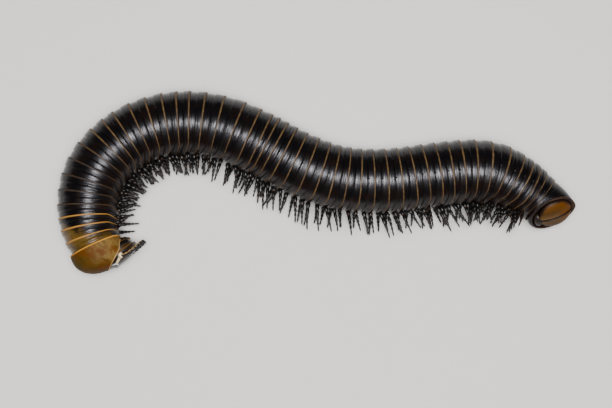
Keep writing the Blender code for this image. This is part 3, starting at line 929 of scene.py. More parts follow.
@dataclass
class RingRow:
    """The rings of the trunk: each a hollow band whose rear lip covers the front of the next."""

    course: Course
    lengths: Table = (
        (1, 1.71), (3, 1.57), (4, 1.94), (6, 1.98), (9, 2.23), (11, 1.67), (12, 2.33), (14, 2.28),
        (16, 1.85), (19, 2.99), (20, 2.68), (22, 1.23), (23, 1.53), (26, 2.52), (28, 2.21), (33, 2.3),
        (38, 2.01), (41, 2.25), (44, 1.3), (46, 1.8),
    )
    count: int = 46
    per_piece: tuple[int, ...] = (3, 4, 4, 4, 4, 4, 4, 4, 4, 4, 4, 3)
    first_margin: float = 0.5
    columns: int = 144
    front_share: float = 0.964
    rises: Triple = (0.004, 0.019, 0.013)
    suture_place: float = 0.42
    suture_depth: float = 0.010
    suture_width: float = 0.065
    suture_step: tuple[float, float] = (-0.02, 0.045)
    swells: tuple[float, float] = (0.004, 0.007)
    furrow_width: float = 0.05
    furrow_depth: float = 0.006
    furrow_least: Table = ((0.1, 0.2), (0.55, 0.2))
    furrow_most: Table = ((0.3, 1.0), (0.75, 1.0))
    rim_bumps: tuple[Triple, ...] = ((-0.0045, 0.31, 0.045), (0.002, 0.14, 0.1))
    rim_rows: tuple[float, ...] = (0.37, 0.34, 0.31, 0.28, 0.25, 0.2, 0.15, 0.1)
    edge_reach: float = 0.1
    edge_turn: float = 65
    inner_start: float = 0.12
    inner_rows: Table = ((0.85, 0.958), (0.74, 0.90), (0.1, 0.875), (-0.2, 0.88))
    tuck: float = 0.2
    tuck_slope: float = 0.22
    lip: float = 0.036
    belly_sink: float = 0.03
    belly_width: float = 0.04
    size_spread: float = 0.0012
    bulge: float = 0.25
    hook: float = 0.7
    hook_in_bend: float = 2
    hook_at: tuple[float, float] = (-0.62, -1.04)
    hook_fade: Table = ((0, 0.45), (3, 1), (42, 1), (45, 0.4))
    wobble: float = 0.035
    seed: int = 7

    def margins(self) -> Array:
        """Distances of the collum's rear margin and of each ring's."""
        lengths = read_table(self.lengths, np.arange(1, self.count + 1))
        return self.first_margin + np.concatenate([[0], np.cumsum(lengths)])

    def sweep(self, ring: Array | float, back: Array, bend: Array | float) -> Array:
        """How far the ring line lies tailward of its plane, bulged at the sides and hooked at the belly.

        Formula: b (1 - c^2) - h s, with c the cosine of the turn from mid-dorsum and s a smooth step
        towards mid-belly, where the hook points headward.

        Args:
            ring: Count of rings from the collum's margin, with a share of a ring after the point.
            back: Cosine of the turn from mid-dorsum.
            bend: Curvature of the body there.

        Returns:
            Distances in millimetres.
        """
        hook = (self.hook + self.hook_in_bend * np.maximum(bend, 0)) * read_table(self.hook_fade, ring)
        return self.bulge * (1 - back ** 2) - hook * step(*self.hook_at, back)

    def outline(self, length: float, furrows: Array) -> tuple[Array, Array, Array]:
        """One ring's outline, cut lengthwise, as a closed loop.

        Formula of the outer face, as a share of the trunk's radius: it rises a little to the suture, by a
        smooth step at it and a little more to the rear margin, with a low arch sin(pi v) on either side
        of the suture, less bell-shaped grooves at the suture, at the furrows and in front of the golden
        margin, plus a low bead on that margin. Under the ring before it slopes inwards. The rear edge is
        an arc, and the inner face returns well inside.

        Args:
            length: Distance between the ring's two margins.
            furrows: Rows of place, as a share of the length, and strength.

        Returns:
            Places in millimetres behind the front margin, shares of the radius, and distances in front of
            the rear margin.
        """
        visible = np.concatenate([
            np.linspace(0, 0.36, 11), self.suture_place + np.linspace(-0.035, 0.045, 9),
            np.linspace(0.49, 1 - 0.42 / length, 12),
        ])
        tucked = np.array([-self.tuck, -0.12, -0.05])
        place = np.concatenate([tucked * length, visible * length, length - np.array(self.rim_rows)])
        u = place / length
        before = np.clip(u / self.suture_place, 0, 1)
        behind = np.clip((u - self.suture_place) / (1 - self.suture_place), 0, 1)
        stairs = step(*self.suture_step, u - self.suture_place)
        share = self.front_share + self.rises[0] * before + self.rises[1] * stairs + self.rises[2] * behind
        share += self.swells[0] * np.sin(math.pi * before) + self.swells[1] * np.sin(math.pi * behind)
        share += self.tuck_slope * np.minimum(u, 0)
        share -= self.suture_depth * bump_at(self.suture_place * length, self.suture_width, place)
        for furrow, strength in furrows:
            share -= self.furrow_depth * strength * bump_at(furrow * length, self.furrow_width, place)
        share += bumps(self.rim_bumps, length - place)
        turn = np.radians(np.linspace(self.edge_turn, -self.edge_turn, 5))
        edge_place = length - self.edge_reach + self.edge_reach * np.cos(turn)
        edge_share = share[-1] - self.lip / 2 + self.lip / 2 * np.sin(turn)
        inner_places, inner_shares = np.array(self.inner_rows).T
        place = np.concatenate([place, edge_place, [length - self.inner_start], inner_places * length])
        share = np.concatenate([share, edge_share, [1 - self.lip], inner_shares])
        return place, share, length - place

    def build(self) -> None:
        """Builds the pieces, each of three or four rings."""
        draw = np.random.default_rng(self.seed)
        first = 0
        for index, rings in enumerate(self.per_piece):
            skin = Skin()
            for ring in range(first, first + rings):
                self.add_ring(skin, ring, draw)
            number = f"{index + 1:02d}"
            present(skin, f"rings_{number}", RingHorn(), Slot.RINGS, f"trunk_{number}")
            first += rings

    def add_ring(self, skin: Skin, ring: int, draw: np.random.Generator) -> None:
        """Adds one ring, with its own small tip, swing, swelling and furrows.

        Args:
            skin: Skin of the piece.
            ring: Number of the ring, the first being 0.
            draw: Source of the ring's own departures.
        """
        front, rear = self.margins()[ring:ring + 2]
        angle = math.pi + around(self.columns)
        back = np.cos(angle)
        tip, swing, swell = draw.normal(0, 1, 3)
        furrows = draw.uniform(self.furrow_least, self.furrow_most)
        place, share, rim = self.outline(rear - front, furrows)
        part = (place / (rear - front))[:, None]
        distance = np.broadcast_to((front + place)[:, None], (len(place), self.columns))
        shift = self.sweep(ring + part, back[None, :], self.course.bend(distance[:, :1]))
        shift = shift + self.wobble * (tip * back + swing * np.sin(angle))
        belly = bump_at(-1.0, self.belly_width, back) * step(0, 0.3, rim / (rear - front))[:, None]
        radius = self.course.radius(distance) * share[:, None] * (1 + self.size_spread * swell)
        radius = radius * (1 - self.belly_sink * belly)
        turn = np.broadcast_to(angle, distance.shape)
        points = self.course.stance(distance).round_about(turn, radius, shift)
        arc = (angle - FULL_TURN) * self.course.radius(front)
        skin.add(
            self.course.settle(points), Ends.LOOP, rim=rim[:, None], share=part, back=back[None, :],
            along=distance, number=float(ring), arc=arc[None, :],
        )


@dataclass
class LegRow:
    """The walking legs: two pairs on a ring from the fourth on, one on the first three, none at the end.

    Each leg strays by chance, and strays says how far in splay, sweep, length and curl. A row of a
    joint gives the share of it, the share of its thickness there and the mark; one of the claw gives
    the share of the leg, the radius and the mark.
    """

    course: Course
    rings: RingRow
    single_rings: int = 3
    legless_rings: int = 1
    pair_places: tuple[float, float] = (0.3, 0.76)
    single_place: float = 0.52
    length: float = 5.0
    least: float = 0.92
    root_sink: float = 0.9
    root_aside: float = 0.5
    splay: float = 46
    curl: float = 1.05
    sweep: float = 12
    side_sweep: float = 7
    sweep_loss_in_bend: float = 10
    tuft_sweep: float = 12
    tuft_in_bend: float = 0.2
    tuft_pairs: float = 6.4
    lower_lag: float = 2.0
    bunch_sweep: float = 2
    lower_bunch: float = 0.5
    wave_legs: float = 11
    wave_lift: float = 7
    zigzag: float = 4
    zigzag_in_bend: float = 110
    shorter_in_bend: float = 9
    clearance: float = -1.6
    strays: tuple[float, float, float, float] = (7.0, 7.0, 0.08, 0.16)
    stray_limit: float = 1.8
    floor_gap: float = 0.05
    joints: tuple[float, ...] = (0.0, 0.14, 0.33, 0.53, 0.66, 0.79, 0.945)
    thickness: tuple[float, ...] = (0.42, 0.38, 0.31, 0.25, 0.195, 0.15, 0.11)
    joint_rows: tuple[Triple, ...] = ((0.03, 0.74, 1), (0.2, 0.92, 0), (0.62, 1.03, 0), (0.93, 0.9, 0.55))
    claw_rows: tuple[Triple, ...] = ((0.95, 0.085, 0.5), (0.97, 0.06, 0), (0.998, 0.012, 0))
    hair_stations: tuple[int, ...] = (6, 10, 14, 18, 21, 23)
    hair_root: float = 0.8
    hair_reach: Triple = (0.0, 0.14, 0.3)
    hair_radii: Triple = (0.028, 0.02, 0.005)
    hair_lean: float = 0.9
    sides: int = 8
    seed: int = 19

    def places(self, ring: int) -> list[float]:
        """Places of the leg pairs of one ring.

        Args:
            ring: Number of the ring, the first being 0.

        Returns:
            Distances along the body, none, one or two.
        """
        margins = self.rings.margins()
        start, span = margins[ring], margins[ring + 1] - margins[ring]
        if ring < self.single_rings:
            return [start + self.single_place * span]
        if ring >= self.rings.count - self.legless_rings:
            return []
        return [start + place * span for place in self.pair_places]

    def stations(self) -> tuple[Array, Array, Array]:
        """Stations along a leg.

        Each of six joints starts narrow, swells to its thickness and narrows again; the claw is a cone.

        Returns:
            Shares of the leg, the radius at each, and how near it is to a joint.
        """
        starts = np.array(self.joints)
        ends = np.append(starts[1:], 1.0)
        inner, swell, mark = np.array(self.joint_rows).T
        claw_share, claw_radius, claw_mark = np.array(self.claw_rows).T
        share = (starts[:-1, None] + inner * (ends - starts)[:-1, None]).ravel()
        radius = (np.array(self.thickness)[:-1, None] * swell).ravel()
        joint = np.tile(mark, len(starts) - 1)
        rows = ((share, claw_share), (radius, claw_radius), (joint, claw_mark))
        return tuple(np.concatenate(row) for row in rows)

    def paths(
        self, number: Array, place: Array, side: Array, front: float, rear: float, stray: Array,
    ) -> tuple[Array, Array]:
        """Paths of many legs at once.

        Formula: from a root below the axis each leg leaves it at its splay, which falls by the curl along
        the leg, so down = sum of cos(splay) and aside = sum of sin(splay) over its steps. A wave along
        the row and a zigzag change the splay, and the legs lean tailward by their sweep, which grows
        towards the tip in a second wave, so that tips meet in tufts.

        Args:
            number: Count of each leg's pair from the head.
            place: Distance of each leg along the body.
            side: 1 for left legs and -1 for right ones.
            front: Distance of the front of this length of the trunk.
            rear: Distance of its rear.
            stray: Each leg's own chance departures in splay, sweep, length and curl.

        Returns:
            Paths of legs by stations by three, and the tailward direction at each leg.
        """
        stance = self.course.stance(place)
        bend = np.maximum(self.course.bend(place), 0)
        phase = FULL_TURN * number / self.wave_legs
        zigzag = (self.zigzag + self.zigzag_in_bend * bend) * np.where(number % 2 == 1, 1, -1)
        splay = self.splay + self.wave_lift * np.cos(phase) + zigzag + self.strays[0] * stray[:, 0]
        bunch = self.bunch_sweep * np.where(side > 0, 1, self.lower_bunch)
        spread = 1 - 2 * (place - front) / (rear - front)
        free = 1 - np.minimum(bend * self.sweep_loss_in_bend, 1)
        sweep = (self.sweep + bunch * spread) * free + self.side_sweep * side
        sweep = np.radians(sweep + self.strays[1] * stray[:, 1])
        tuft_phase = FULL_TURN * number / self.tuft_pairs + np.where(side > 0, 0, self.lower_lag)
        tuft = self.tuft_sweep * (self.tuft_in_bend + (1 - self.tuft_in_bend) * free)
        tuft = np.radians(tuft) * np.cos(tuft_phase)
        radius = self.course.radius(place)
        stature = np.maximum(radius / max(value for _, value in self.course.girth), self.least)
        length = (self.length - self.shorter_in_bend * bend) * stature * (1 + self.strays[2] * stray[:, 2])
        share, thickness, _ = self.stations()
        steps = np.diff(np.concatenate([[0], share]))
        joints = np.array(self.joints)
        which = np.clip(np.searchsorted(joints, share, side="right") - 1, 0, len(joints) - 1)
        middles = (joints + np.append(joints[1:], 1.0)) / 2
        curl = self.curl + self.strays[3] * stray[:, 3:]
        slant = np.radians(splay[:, None] * (1 - curl * middles[which]))
        span = steps * length[:, None]
        down = (radius - self.root_sink)[:, None] + np.cumsum(span * np.cos(slant), axis=1)
        aside = self.root_aside + np.cumsum(span * np.sin(slant), axis=1)
        tailward = np.cumsum(span * np.sin(sweep[:, None] + tuft[:, None] * share), axis=1)
        path = (
            stance.point[:, None] - down[..., None] * stance.dorsal[:, None]
            + (side[:, None] * aside)[..., None] * stance.left[:, None]
            + tailward[..., None] * stance.tailward[:, None]
        )
        for distance, sense in ((front, 1), (rear, -1)):
            wall = self.course.stance(distance)
            inside = sense * ((path - wall.point) @ wall.tailward)
            path = path + (sense * np.maximum(self.clearance - inside, 0))[..., None] * wall.tailward
        path[..., 2] = np.maximum(path[..., 2], thickness + self.floor_gap)
        return path, stance.tailward

    def build(self) -> None:
        """Builds one piece of legs for each length of the trunk."""
        margins = self.rings.margins()
        share, radius, joint = self.stations()
        draw = np.random.default_rng(self.seed)
        first = pair = 0
        for index, rings in enumerate(self.rings.per_piece):
            places = [place for ring in range(first, first + rings) for place in self.places(ring)]
            numbers = pair + 1 + np.arange(len(places))
            pair += len(places)
            place = np.repeat(places, 2)
            number = np.repeat(numbers, 2)
            side = np.tile([1, -1], len(places))
            stray = draw.normal(0, 1, (len(place), len(self.strays)))
            stray = np.clip(stray, -self.stray_limit, self.stray_limit)
            path, tailward = self.paths(number, place, side, margins[first], margins[first + rings], stray)
            grids = tube(path, radius, self.sides, tailward[:, None])
            skin = Skin()
            tone = draw.uniform(0.6, 1.3, (len(place), 1, 1))
            skin.add(grids, joint=joint[None, :, None] * tone, reach=share[None, :, None])
            self.add_bristles(skin, path, radius, tailward, draw)
            present(skin, f"legs_{index + 1:02d}", LimbHorn(), Slot.LIMB)
            first += rings

    def add_bristles(
        self, skin: Skin, path: Array, radius: Array, tailward: Array, draw: np.random.Generator,
    ) -> None:
        """Stiff hairs near the end of each joint, leaning towards the leg's tip.

        Args:
            skin: Skin of the piece.
            path: Paths of legs by stations by three.
            radius: Radius at each station.
            tailward: Tailward direction at each leg.
            draw: Source of each hair's turn round the leg.
        """
        stations = np.array(self.hair_stations)
        lie = unit(np.gradient(path, axis=1))[:, stations]
        across = unit(tailward[:, None] - np.sum(lie * tailward[:, None], axis=-1, keepdims=True) * lie)
        over = np.cross(lie, across)
        turn = draw.uniform(0, FULL_TURN, (*lie.shape[:2], 1))
        out = np.cos(turn) * across + np.sin(turn) * over
        root = path[:, stations] + self.hair_root * radius[stations][:, None] * out
        root, way, over = (part.reshape(-1, 3) for part in (root, out + self.hair_lean * lie, over))
        skin.add(bristles(root, way, over, self.hair_reach, self.hair_radii), joint=0.0, reach=1.0)


# Front of the animal


@dataclass
class Collum:
    """The shield behind and over the head: a thin dome with a flap down each side."""

    head: HeadFrame
    rings: RingRow
    radius: float = 4.45
    front: float = 4.4
    shoulder: float = 0.4
    back_power: float = 2.4
    flank_power: float = 4
    flap_depth: float = 1.1
    flap_power: float = 3
    cuts: Table = ((42, 4.05), (68, 4.5))
    head_half: Point = (2.12, 3.82, 3.32)
    head_power: float = 2.3
    heart: Point = (0.3, 0.3, 0.0)
    target: Point = (0.75, 0.66, 0.0)
    rise_limit: float = 0.99999
    margin_overlap: float = 0.02
    cut_round: float = 0.25
    rim_bumps: tuple[Triple, ...] = ((0.05, 0.12, 0.12), (-0.03, 0.34, 0.1), (-0.1, 0.0, 0.05))
    rear_bumps: tuple[Triple, ...] = ((0.03, 0.15, 0.15), (-0.02, 0.36, 0.08), (-0.06, 0.0, 0.05))
    span: float = 149
    columns: int = 151
    rows: int = 56
    row_power: float = 1.25
    inner_stride: int = 3
    thickness: float = 0.26
    lip_share: float = 1.004
    lip_depth: float = 0.45
    rear_of_lip: float = 9

    def excess(self, spots: Array) -> Array:
        """How far spots lie outside the dome, from its cross-section at each reach forward.

        Formula: with rise from 0 at the shoulder to 1 at the front, the back's radius is
        R sqrt(1 - rise^2.4) and the flank's R sqrt(1 - rise^4). Above the axis the section is an ellipse
        of the two, and below it (|d| / 1.1 flank)^3 + (|a| / flank)^3 = 1.

        Args:
            spots: Forward, bellyward and left distances.

        Returns:
            Numbers below 0 inside and above 0 outside.
        """
        forward, down, aside = np.moveaxis(spots, -1, 0)
        rise = (forward - self.shoulder) / (self.front - self.shoulder)
        rise = np.clip(rise, 0, self.rise_limit)
        back = self.radius * np.sqrt(1 - rise ** self.back_power)
        flank = self.radius * np.sqrt(1 - rise ** self.flank_power)
        above = (down / back) ** 2 + (aside / flank) ** 2
        deep, wide = np.abs(down) / (self.flap_depth * flank), np.abs(aside / flank)
        below = deep ** self.flap_power + wide ** self.flap_power
        return np.maximum(np.where(down < 0, above, below) - 1, forward - self.front)

    def reach(self, ways: Array) -> Array:
        """Distance from the heart to the dome's surface.

        Args:
            ways: Directions from the heart.

        Returns:
            The distance in each direction.
        """
        near = np.zeros(ways.shape[:-1])
        return halve(lambda far: self.excess(self.heart + far[..., None] * ways) < 0, near, near + 9)

    def surface(self, ways: Array) -> Array:
        """Points of the dome in each direction from the heart."""
        return self.heart + self.reach(ways)[..., None] * ways

    def rear_margin(self, psi: Array) -> Array:
        """The rear margin, where the dome meets the ring line.

        Args:
            psi: Turns from mid-dorsum.

        Returns:
            A point of the margin at each turn.
        """
        raised = math.radians(self.head.raised)
        swept = self.rings.sweep(0, np.cos(psi), self.head.course.bend(self.head.margin))

        def spots(far: Array) -> Array:
            """Points of the ring line's surface.

            Args:
                far: Distance from the axis at each turn.

            Returns:
                A point at each turn.
            """
            down = -far * np.cos(psi)
            forward = -self.head.shift[0] - math.tan(raised) * (down + self.head.shift[1])
            forward = forward + self.margin_overlap - swept
            return np.stack([forward, down, far * np.sin(psi)], axis=-1)

        near = np.zeros(len(psi))
        return spots(halve(lambda far: self.excess(spots(far)) < 0, near, near + 8))

    def ways(self, start: Array, shares: Array) -> Array:
        """Directions along the great circles to the target.

        Formula: (sin(w - t) a + sin(t) b) / sin(w), with w the whole arc and t = w share.

        Args:
            start: Direction that each arc starts in.
            shares: Shares of the way, arcs by places.

        Returns:
            Directions, arcs by places by three.
        """
        target = unit(np.array(self.target))
        whole = np.arccos(np.clip(start @ target, -1, 1))[:, None, None]
        turned = whole * shares[..., None]
        return (np.sin(whole - turned) * start[:, None] + np.sin(turned) * target) / np.sin(whole)

    def removed(self, spots: Array) -> Array:
        """Where the shield is cut away: past its two oblique planes, and inside the head's room.

        Args:
            spots: Forward, bellyward and left distances.

        Returns:
            Numbers above 0 where it is cut away.
        """
        forward, down = spots[..., 0], spots[..., 1]
        cut = [
            forward * math.cos(math.radians(slant)) + down * math.sin(math.radians(slant)) - reach
            for slant, reach in self.cuts
        ]
        soft = self.cut_round
        planes = soft * np.log(np.exp(cut[0] / soft) + np.exp(cut[1] / soft))
        shares = np.abs(self.head.untilted(spots)) / self.head_half
        room = 1 - np.sum(shares ** self.head_power, axis=-1)
        return np.maximum(planes, room)

    def build(self) -> None:
        """Builds the shield from arcs that run over it from its rear margin to its front rim."""
        psi = np.radians(np.linspace(-self.span, self.span, self.columns))
        start = unit(self.rear_margin(psi) - self.heart)
        rim = halve(
            lambda share: self.removed(self.surface(self.ways(start, share[:, None])))[:, 0] < 0,
            np.zeros(self.columns), np.ones(self.columns),
        )[:, None]
        shares = 1 - (1 - np.linspace(0, 1, self.rows)) ** self.row_power
        ways = self.ways(start, rim * shares)
        reach = self.reach(ways)
        outer = self.heart + reach[..., None] * ways
        steps = np.linalg.norm(np.diff(outer, axis=1), axis=-1)
        lengths = np.concatenate([np.zeros((self.columns, 1)), np.cumsum(steps, axis=1)], axis=1)
        to_rim = lengths[:, -1:] - lengths
        wall = self.thickness * (0.5 + 0.5 * step(0, 0.1, 1 - np.abs(psi) / psi[-1]))[:, None]
        bead = bumps(self.rim_bumps, to_rim) + bumps(self.rear_bumps, lengths)
        returning = np.arange(self.rows)[:: -self.inner_stride]
        depth = wall * (0.7 + 0.3 * step(0, 0.1, 1 - shares[returning]))
        inner = self.heart + (reach[:, returning] - depth)[..., None] * ways[:, returning]
        lip_way = self.ways(start, rim * self.lip_share)
        lip = self.heart + (self.reach(lip_way) - wall * self.lip_depth)[..., None] * lip_way
        outer = self.heart + (reach + bead)[..., None] * ways
        grid = np.concatenate([outer, lip, inner], axis=1)
        column = np.zeros((self.columns, 1))
        edge = np.concatenate([to_rim, column, to_rim[:, returning]], axis=1)
        rear = np.concatenate([lengths, column + self.rear_of_lip, lengths[:, returning]], axis=1)
        back = np.broadcast_to(np.cos(psi)[:, None], edge.shape)
        skin = Skin()
        skin.add(self.head.lay(grid), edge=edge, rear=rear, back=back)
        present(skin, "collum_shield", ShieldHorn(), Slot.GOLD, "collum")


@dataclass
class Head:
    """Head capsule with its neck, eyes and the sockets of the feelers."""

    head: HeadFrame
    half: Point = (2.0, 3.7, 3.2)
    power: float = 2.3
    mouth_cut: tuple[float, float] = (0.2, -0.35)
    mouth_sink: float = 0.13
    furrow_sink: float = 0.012
    notch_sink: float = 0.10
    cheek_rise: float = 0.015
    neck_half: Point = (2.3, 3.1, 3.35)
    neck_centre: Point = (0.3, 0.9, 0.0)
    eye_centre: Point = (3.84, 2.48, 2.05)
    eye_half: Point = (0.46, 0.66, 0.46)
    eye_outward: Point = (1.0, -0.35, 0.75)
    patch_size: float = 0.94
    dome_seat: float = 0.93
    ocellus: float = 0.066
    ocelli: int = 56
    socket: float = 0.46
    socket_ring: tuple[float, float] = (0.11, 0.13)
    socket_cone: Table = ((-0.5, 0.3), (-0.15, 0.46), (0.0, 0.45), (0.12, 0.38), (0.24, 0.3), (0.3, 0.2))
    feeler_roots: tuple[Point, Point] = ((2.6, 4.0, 3.1), (2.75, 4.5, 3.7))

    def skin_and_highlight_strip(self, spots: Array) -> Array:
        """Cream from the eye to the feeler's root, by distance from the line between them: pale skin, and a
        painted highlight along the head's edge.

        Args:
            spots: Forward, bellyward and left distances.

        Returns:
            The mark, 1 on the skin and 0 off it.
        """
        first, last = np.array(self.eye_centre), np.array(self.feeler_roots[0])
        folded = np.stack([spots[..., 0], spots[..., 1], np.abs(spots[..., 2])], axis=-1)
        share = np.clip((folded - first) @ (last - first) / np.sum((last - first) ** 2), 0.3, 1)
        gap = np.linalg.norm(folded - first - share[..., None] * (last - first), axis=-1)
        return 1 - step(0.18, 0.3, gap)

    def capsule(self) -> tuple[Array, Array, Array]:
        """The head without its eyes.

        Formula: a superellipsoid, drawn towards its centre by 13 % behind the mouth's edge, with a
        shallow furrow down the middle of the face, a notch at its lower edge and a low swelling on
        either side.

        Returns:
            The grid in distances out of the face, down it and left, and its brown and gold marks.
        """
        grid = superellipsoid(self.half, self.power, 110, 176)
        out, down, aside = np.moveaxis(grid, -1, 0)
        behind = step(-0.12, 0.12, self.mouth_cut[0] - out) * step(-0.12, 0.12, down - self.mouth_cut[1])
        face = step(0.2, 1.2, out)
        furrow = bump_at(0, 0.16, aside) * face * (1 - step(1.2, 2.4, down))
        notch = bump_at(0, 0.42, aside) * step(2.7, 3.4, down) * step(0.0, 0.5, out)
        swell = bump_at(0, 0.8, np.abs(aside) - 1.2) * face * step(0.6, 2.4, down)
        scale = 1 - self.mouth_sink * behind - self.furrow_sink * furrow - self.notch_sink * notch
        scale = scale + self.cheek_rise * swell
        lower = (0.25 + 0.75 * step(0.6, 3.0, down)) * face
        edge = step(-0.3, -0.05, out - self.mouth_cut[0]) * (1 - step(0.0, 0.22, out - self.mouth_cut[0]))
        gold = 0.5 * edge * step(-0.2, 0.3, down) + 0.5 * step(2.9, 3.5, down) * face
        return grid * scale[..., None], lower, np.clip(gold, 0, 1)

    def build(self) -> None:
        """Builds the capsule, then the eyes."""
        skin = Skin()
        grid, brown, gold = self.capsule()
        spots = self.head.tilted(grid)
        # The cream strip here is partly painted highlight along the head's edge beside the collum.
        skin.add(self.head.lay(spots), brown=brown, gold=gold, cream=0.8 * self.skin_and_highlight_strip(spots))
        neck = superellipsoid(self.neck_half, 2.4, 30, 48) + self.neck_centre
        skin.add(self.head.lay(neck), brown=0.7, gold=0.2, cream=0.0)
        for side in (1, -1):
            self.add_socket(skin, side)
        present(skin, "head_capsule", HeadHorn(), Slot.HEAD, "head")
        for name, side in (("left", 1), ("right", -1)):
            self.build_eye(name, side)

    def add_socket(self, skin: Skin, side: int) -> None:
        """Ring and skin round the root of a feeler: a torus and a low cone about its first direction.

        Args:
            skin: Skin of the head.
            side: 1 for the left feeler and -1 for the right.
        """
        root, beyond = (np.array(point) * (1, 1, side) for point in self.feeler_roots)
        lie = unit(beyond - root)
        across = unit(np.cross(lie, (0.0, 0.3, 1.0)))
        over = np.cross(lie, across)
        turn = around(32)[:, None, None]
        swing = around(12)[None, :, None]
        spoke = np.cos(turn) * across + np.sin(turn) * over
        wide, deep = self.socket_ring
        ring = root - 0.1 * lie + spoke * (self.socket + wide * np.cos(swing))
        ring = ring + deep * np.sin(swing) * lie
        skin.add(self.head.lay(ring), Ends.LOOP, brown=0.6, gold=0.3, cream=0.25)
        reach, radius = np.array(self.socket_cone).T
        cone = tube(root + reach[:, None] * lie, radius, 24, across)
        skin.add(self.head.lay(cone), brown=0.0, gold=0.0, cream=1.0)

    def build_eye(self, name: str, side: int) -> None:
        """An oval patch with small domes on its outward side, spread by the golden angle.

        Args:
            name: Left or right.
            side: 1 for the left eye and -1 for the right.
        """
        centre, outward = (np.array(point) * (1, 1, side) for point in (self.eye_centre, self.eye_outward))
        half = np.array(self.eye_half)
        skin = Skin()
        patch = superellipsoid(self.eye_half, 2, 20, 28) * self.patch_size
        skin.add(self.head.lay(patch + centre), lens=0.0)
        count = self.ocelli * 4
        number = np.arange(count)
        height = 1 - 2 * (number + 0.5) / count
        turn = number * math.pi * (3 - math.sqrt(5))
        flat = np.sqrt(1 - height ** 2)
        ways = np.stack([flat * np.cos(turn), height, flat * np.sin(turn)], axis=-1)
        ways = ways[np.argsort(-(ways @ unit(outward)))[: self.ocelli]]
        dome = superellipsoid((self.ocellus,) * 3, 2, 5, 9)
        spots = centre + ways * half * self.dome_seat
        skin.add(self.head.lay(spots[:, None, None] + dome), lens=1.0)
        present(skin, f"eye_lenses_{name}", EyeLens(), Slot.EYE, f"eye_{name}")


@dataclass
class MouthParts:
    """Plates behind and under the face: mandible plates at the sides and the lower lip between them.

    A row of plates gives the middle's tilt and turn, the spread in both, the lift and the brown.
    """

    head: HeadFrame
    half: Point = (2.0, 3.7, 3.2)
    power: float = 2.3
    floor: float = 0.84
    rise: float = 0.15
    pillow_power: float = 3.6
    plates: tuple[Plate, ...] = (
        ((28, 112), (30, 16), 1.05, 0.0), ((2, 138), (12, 15), 0.9, 0.0), ((36, 142), (22, 13), 0.95, 0.3),
        ((34, 168), (24, 10), 0.9, 0.6), ((62, 150), (9, 22), 0.85, 0.8),
    )
    core_half: Point = (1.6, 3.0, 2.6)
    core_centre: Point = (-0.1, 0.1, 0.0)
    core_front: float = 0.3

    def plate(
        self, middle: tuple[float, float], spread: tuple[float, float], lift: float,
    ) -> tuple[Array, Array]:
        """A cushion on the head's surface.

        Formula: a superellipsoid of half size 1 gives a, b and h, and its point is the head's surface at
        the middle's tilt and turn plus a and b times the spread, scaled by the floor plus h times the
        rise.

        Args:
            middle: Tilt and turn of the plate's middle, in degrees.
            spread: Half its spread in tilt and turn.
            lift: How far it stands out, as a share of the usual.

        Returns:
            The grid in tilted distances, and nearness to the plate's border.
        """
        pillow = superellipsoid((1.0, 1.0, 1.0), self.pillow_power, 22, 36)
        a, h, b = np.moveaxis(pillow, -1, 0)
        tilt = np.radians(middle[0] + spread[0] * a)
        turn = np.radians(middle[1] + spread[1] * b)
        flat = signed_power(np.cos(tilt), 2 / self.power)
        scale = self.floor + self.rise * lift * h
        grid = np.stack([
            self.half[0] * flat * signed_power(np.cos(turn), 2 / self.power),
            self.half[1] * signed_power(np.sin(tilt), 2 / self.power),
            self.half[2] * flat * signed_power(np.sin(turn), 2 / self.power),
        ], axis=-1)
        border = np.clip(np.maximum(np.abs(a), np.abs(b)), 0, 1)
        return grid * scale[..., None], step(0.8, 1.0, border)

    def build(self) -> None:
        """Builds the plates, each on both sides, and the core behind them, as one piece."""
        skin = Skin()
        for (tilt, turn), spread, lift, brown in self.plates:
            for side in (1, -1):
                grid, border = self.plate((tilt, side * turn), spread, lift)
                placed = self.head.lay(self.head.tilted(grid))
                skin.add(placed, brown=brown, gold=border * 0.8, cream=0.0)
        core = superellipsoid(self.core_half, self.power, 30, 44)
        core[..., 0] = np.minimum(core[..., 0], self.core_front)
        core = self.head.lay(self.head.tilted(core + self.core_centre))
        skin.add(core, brown=0.9, gold=0.1, cream=0.0)
        present(skin, "mouth_plates", HeadHorn(), Slot.MOUTH, "mouthparts")


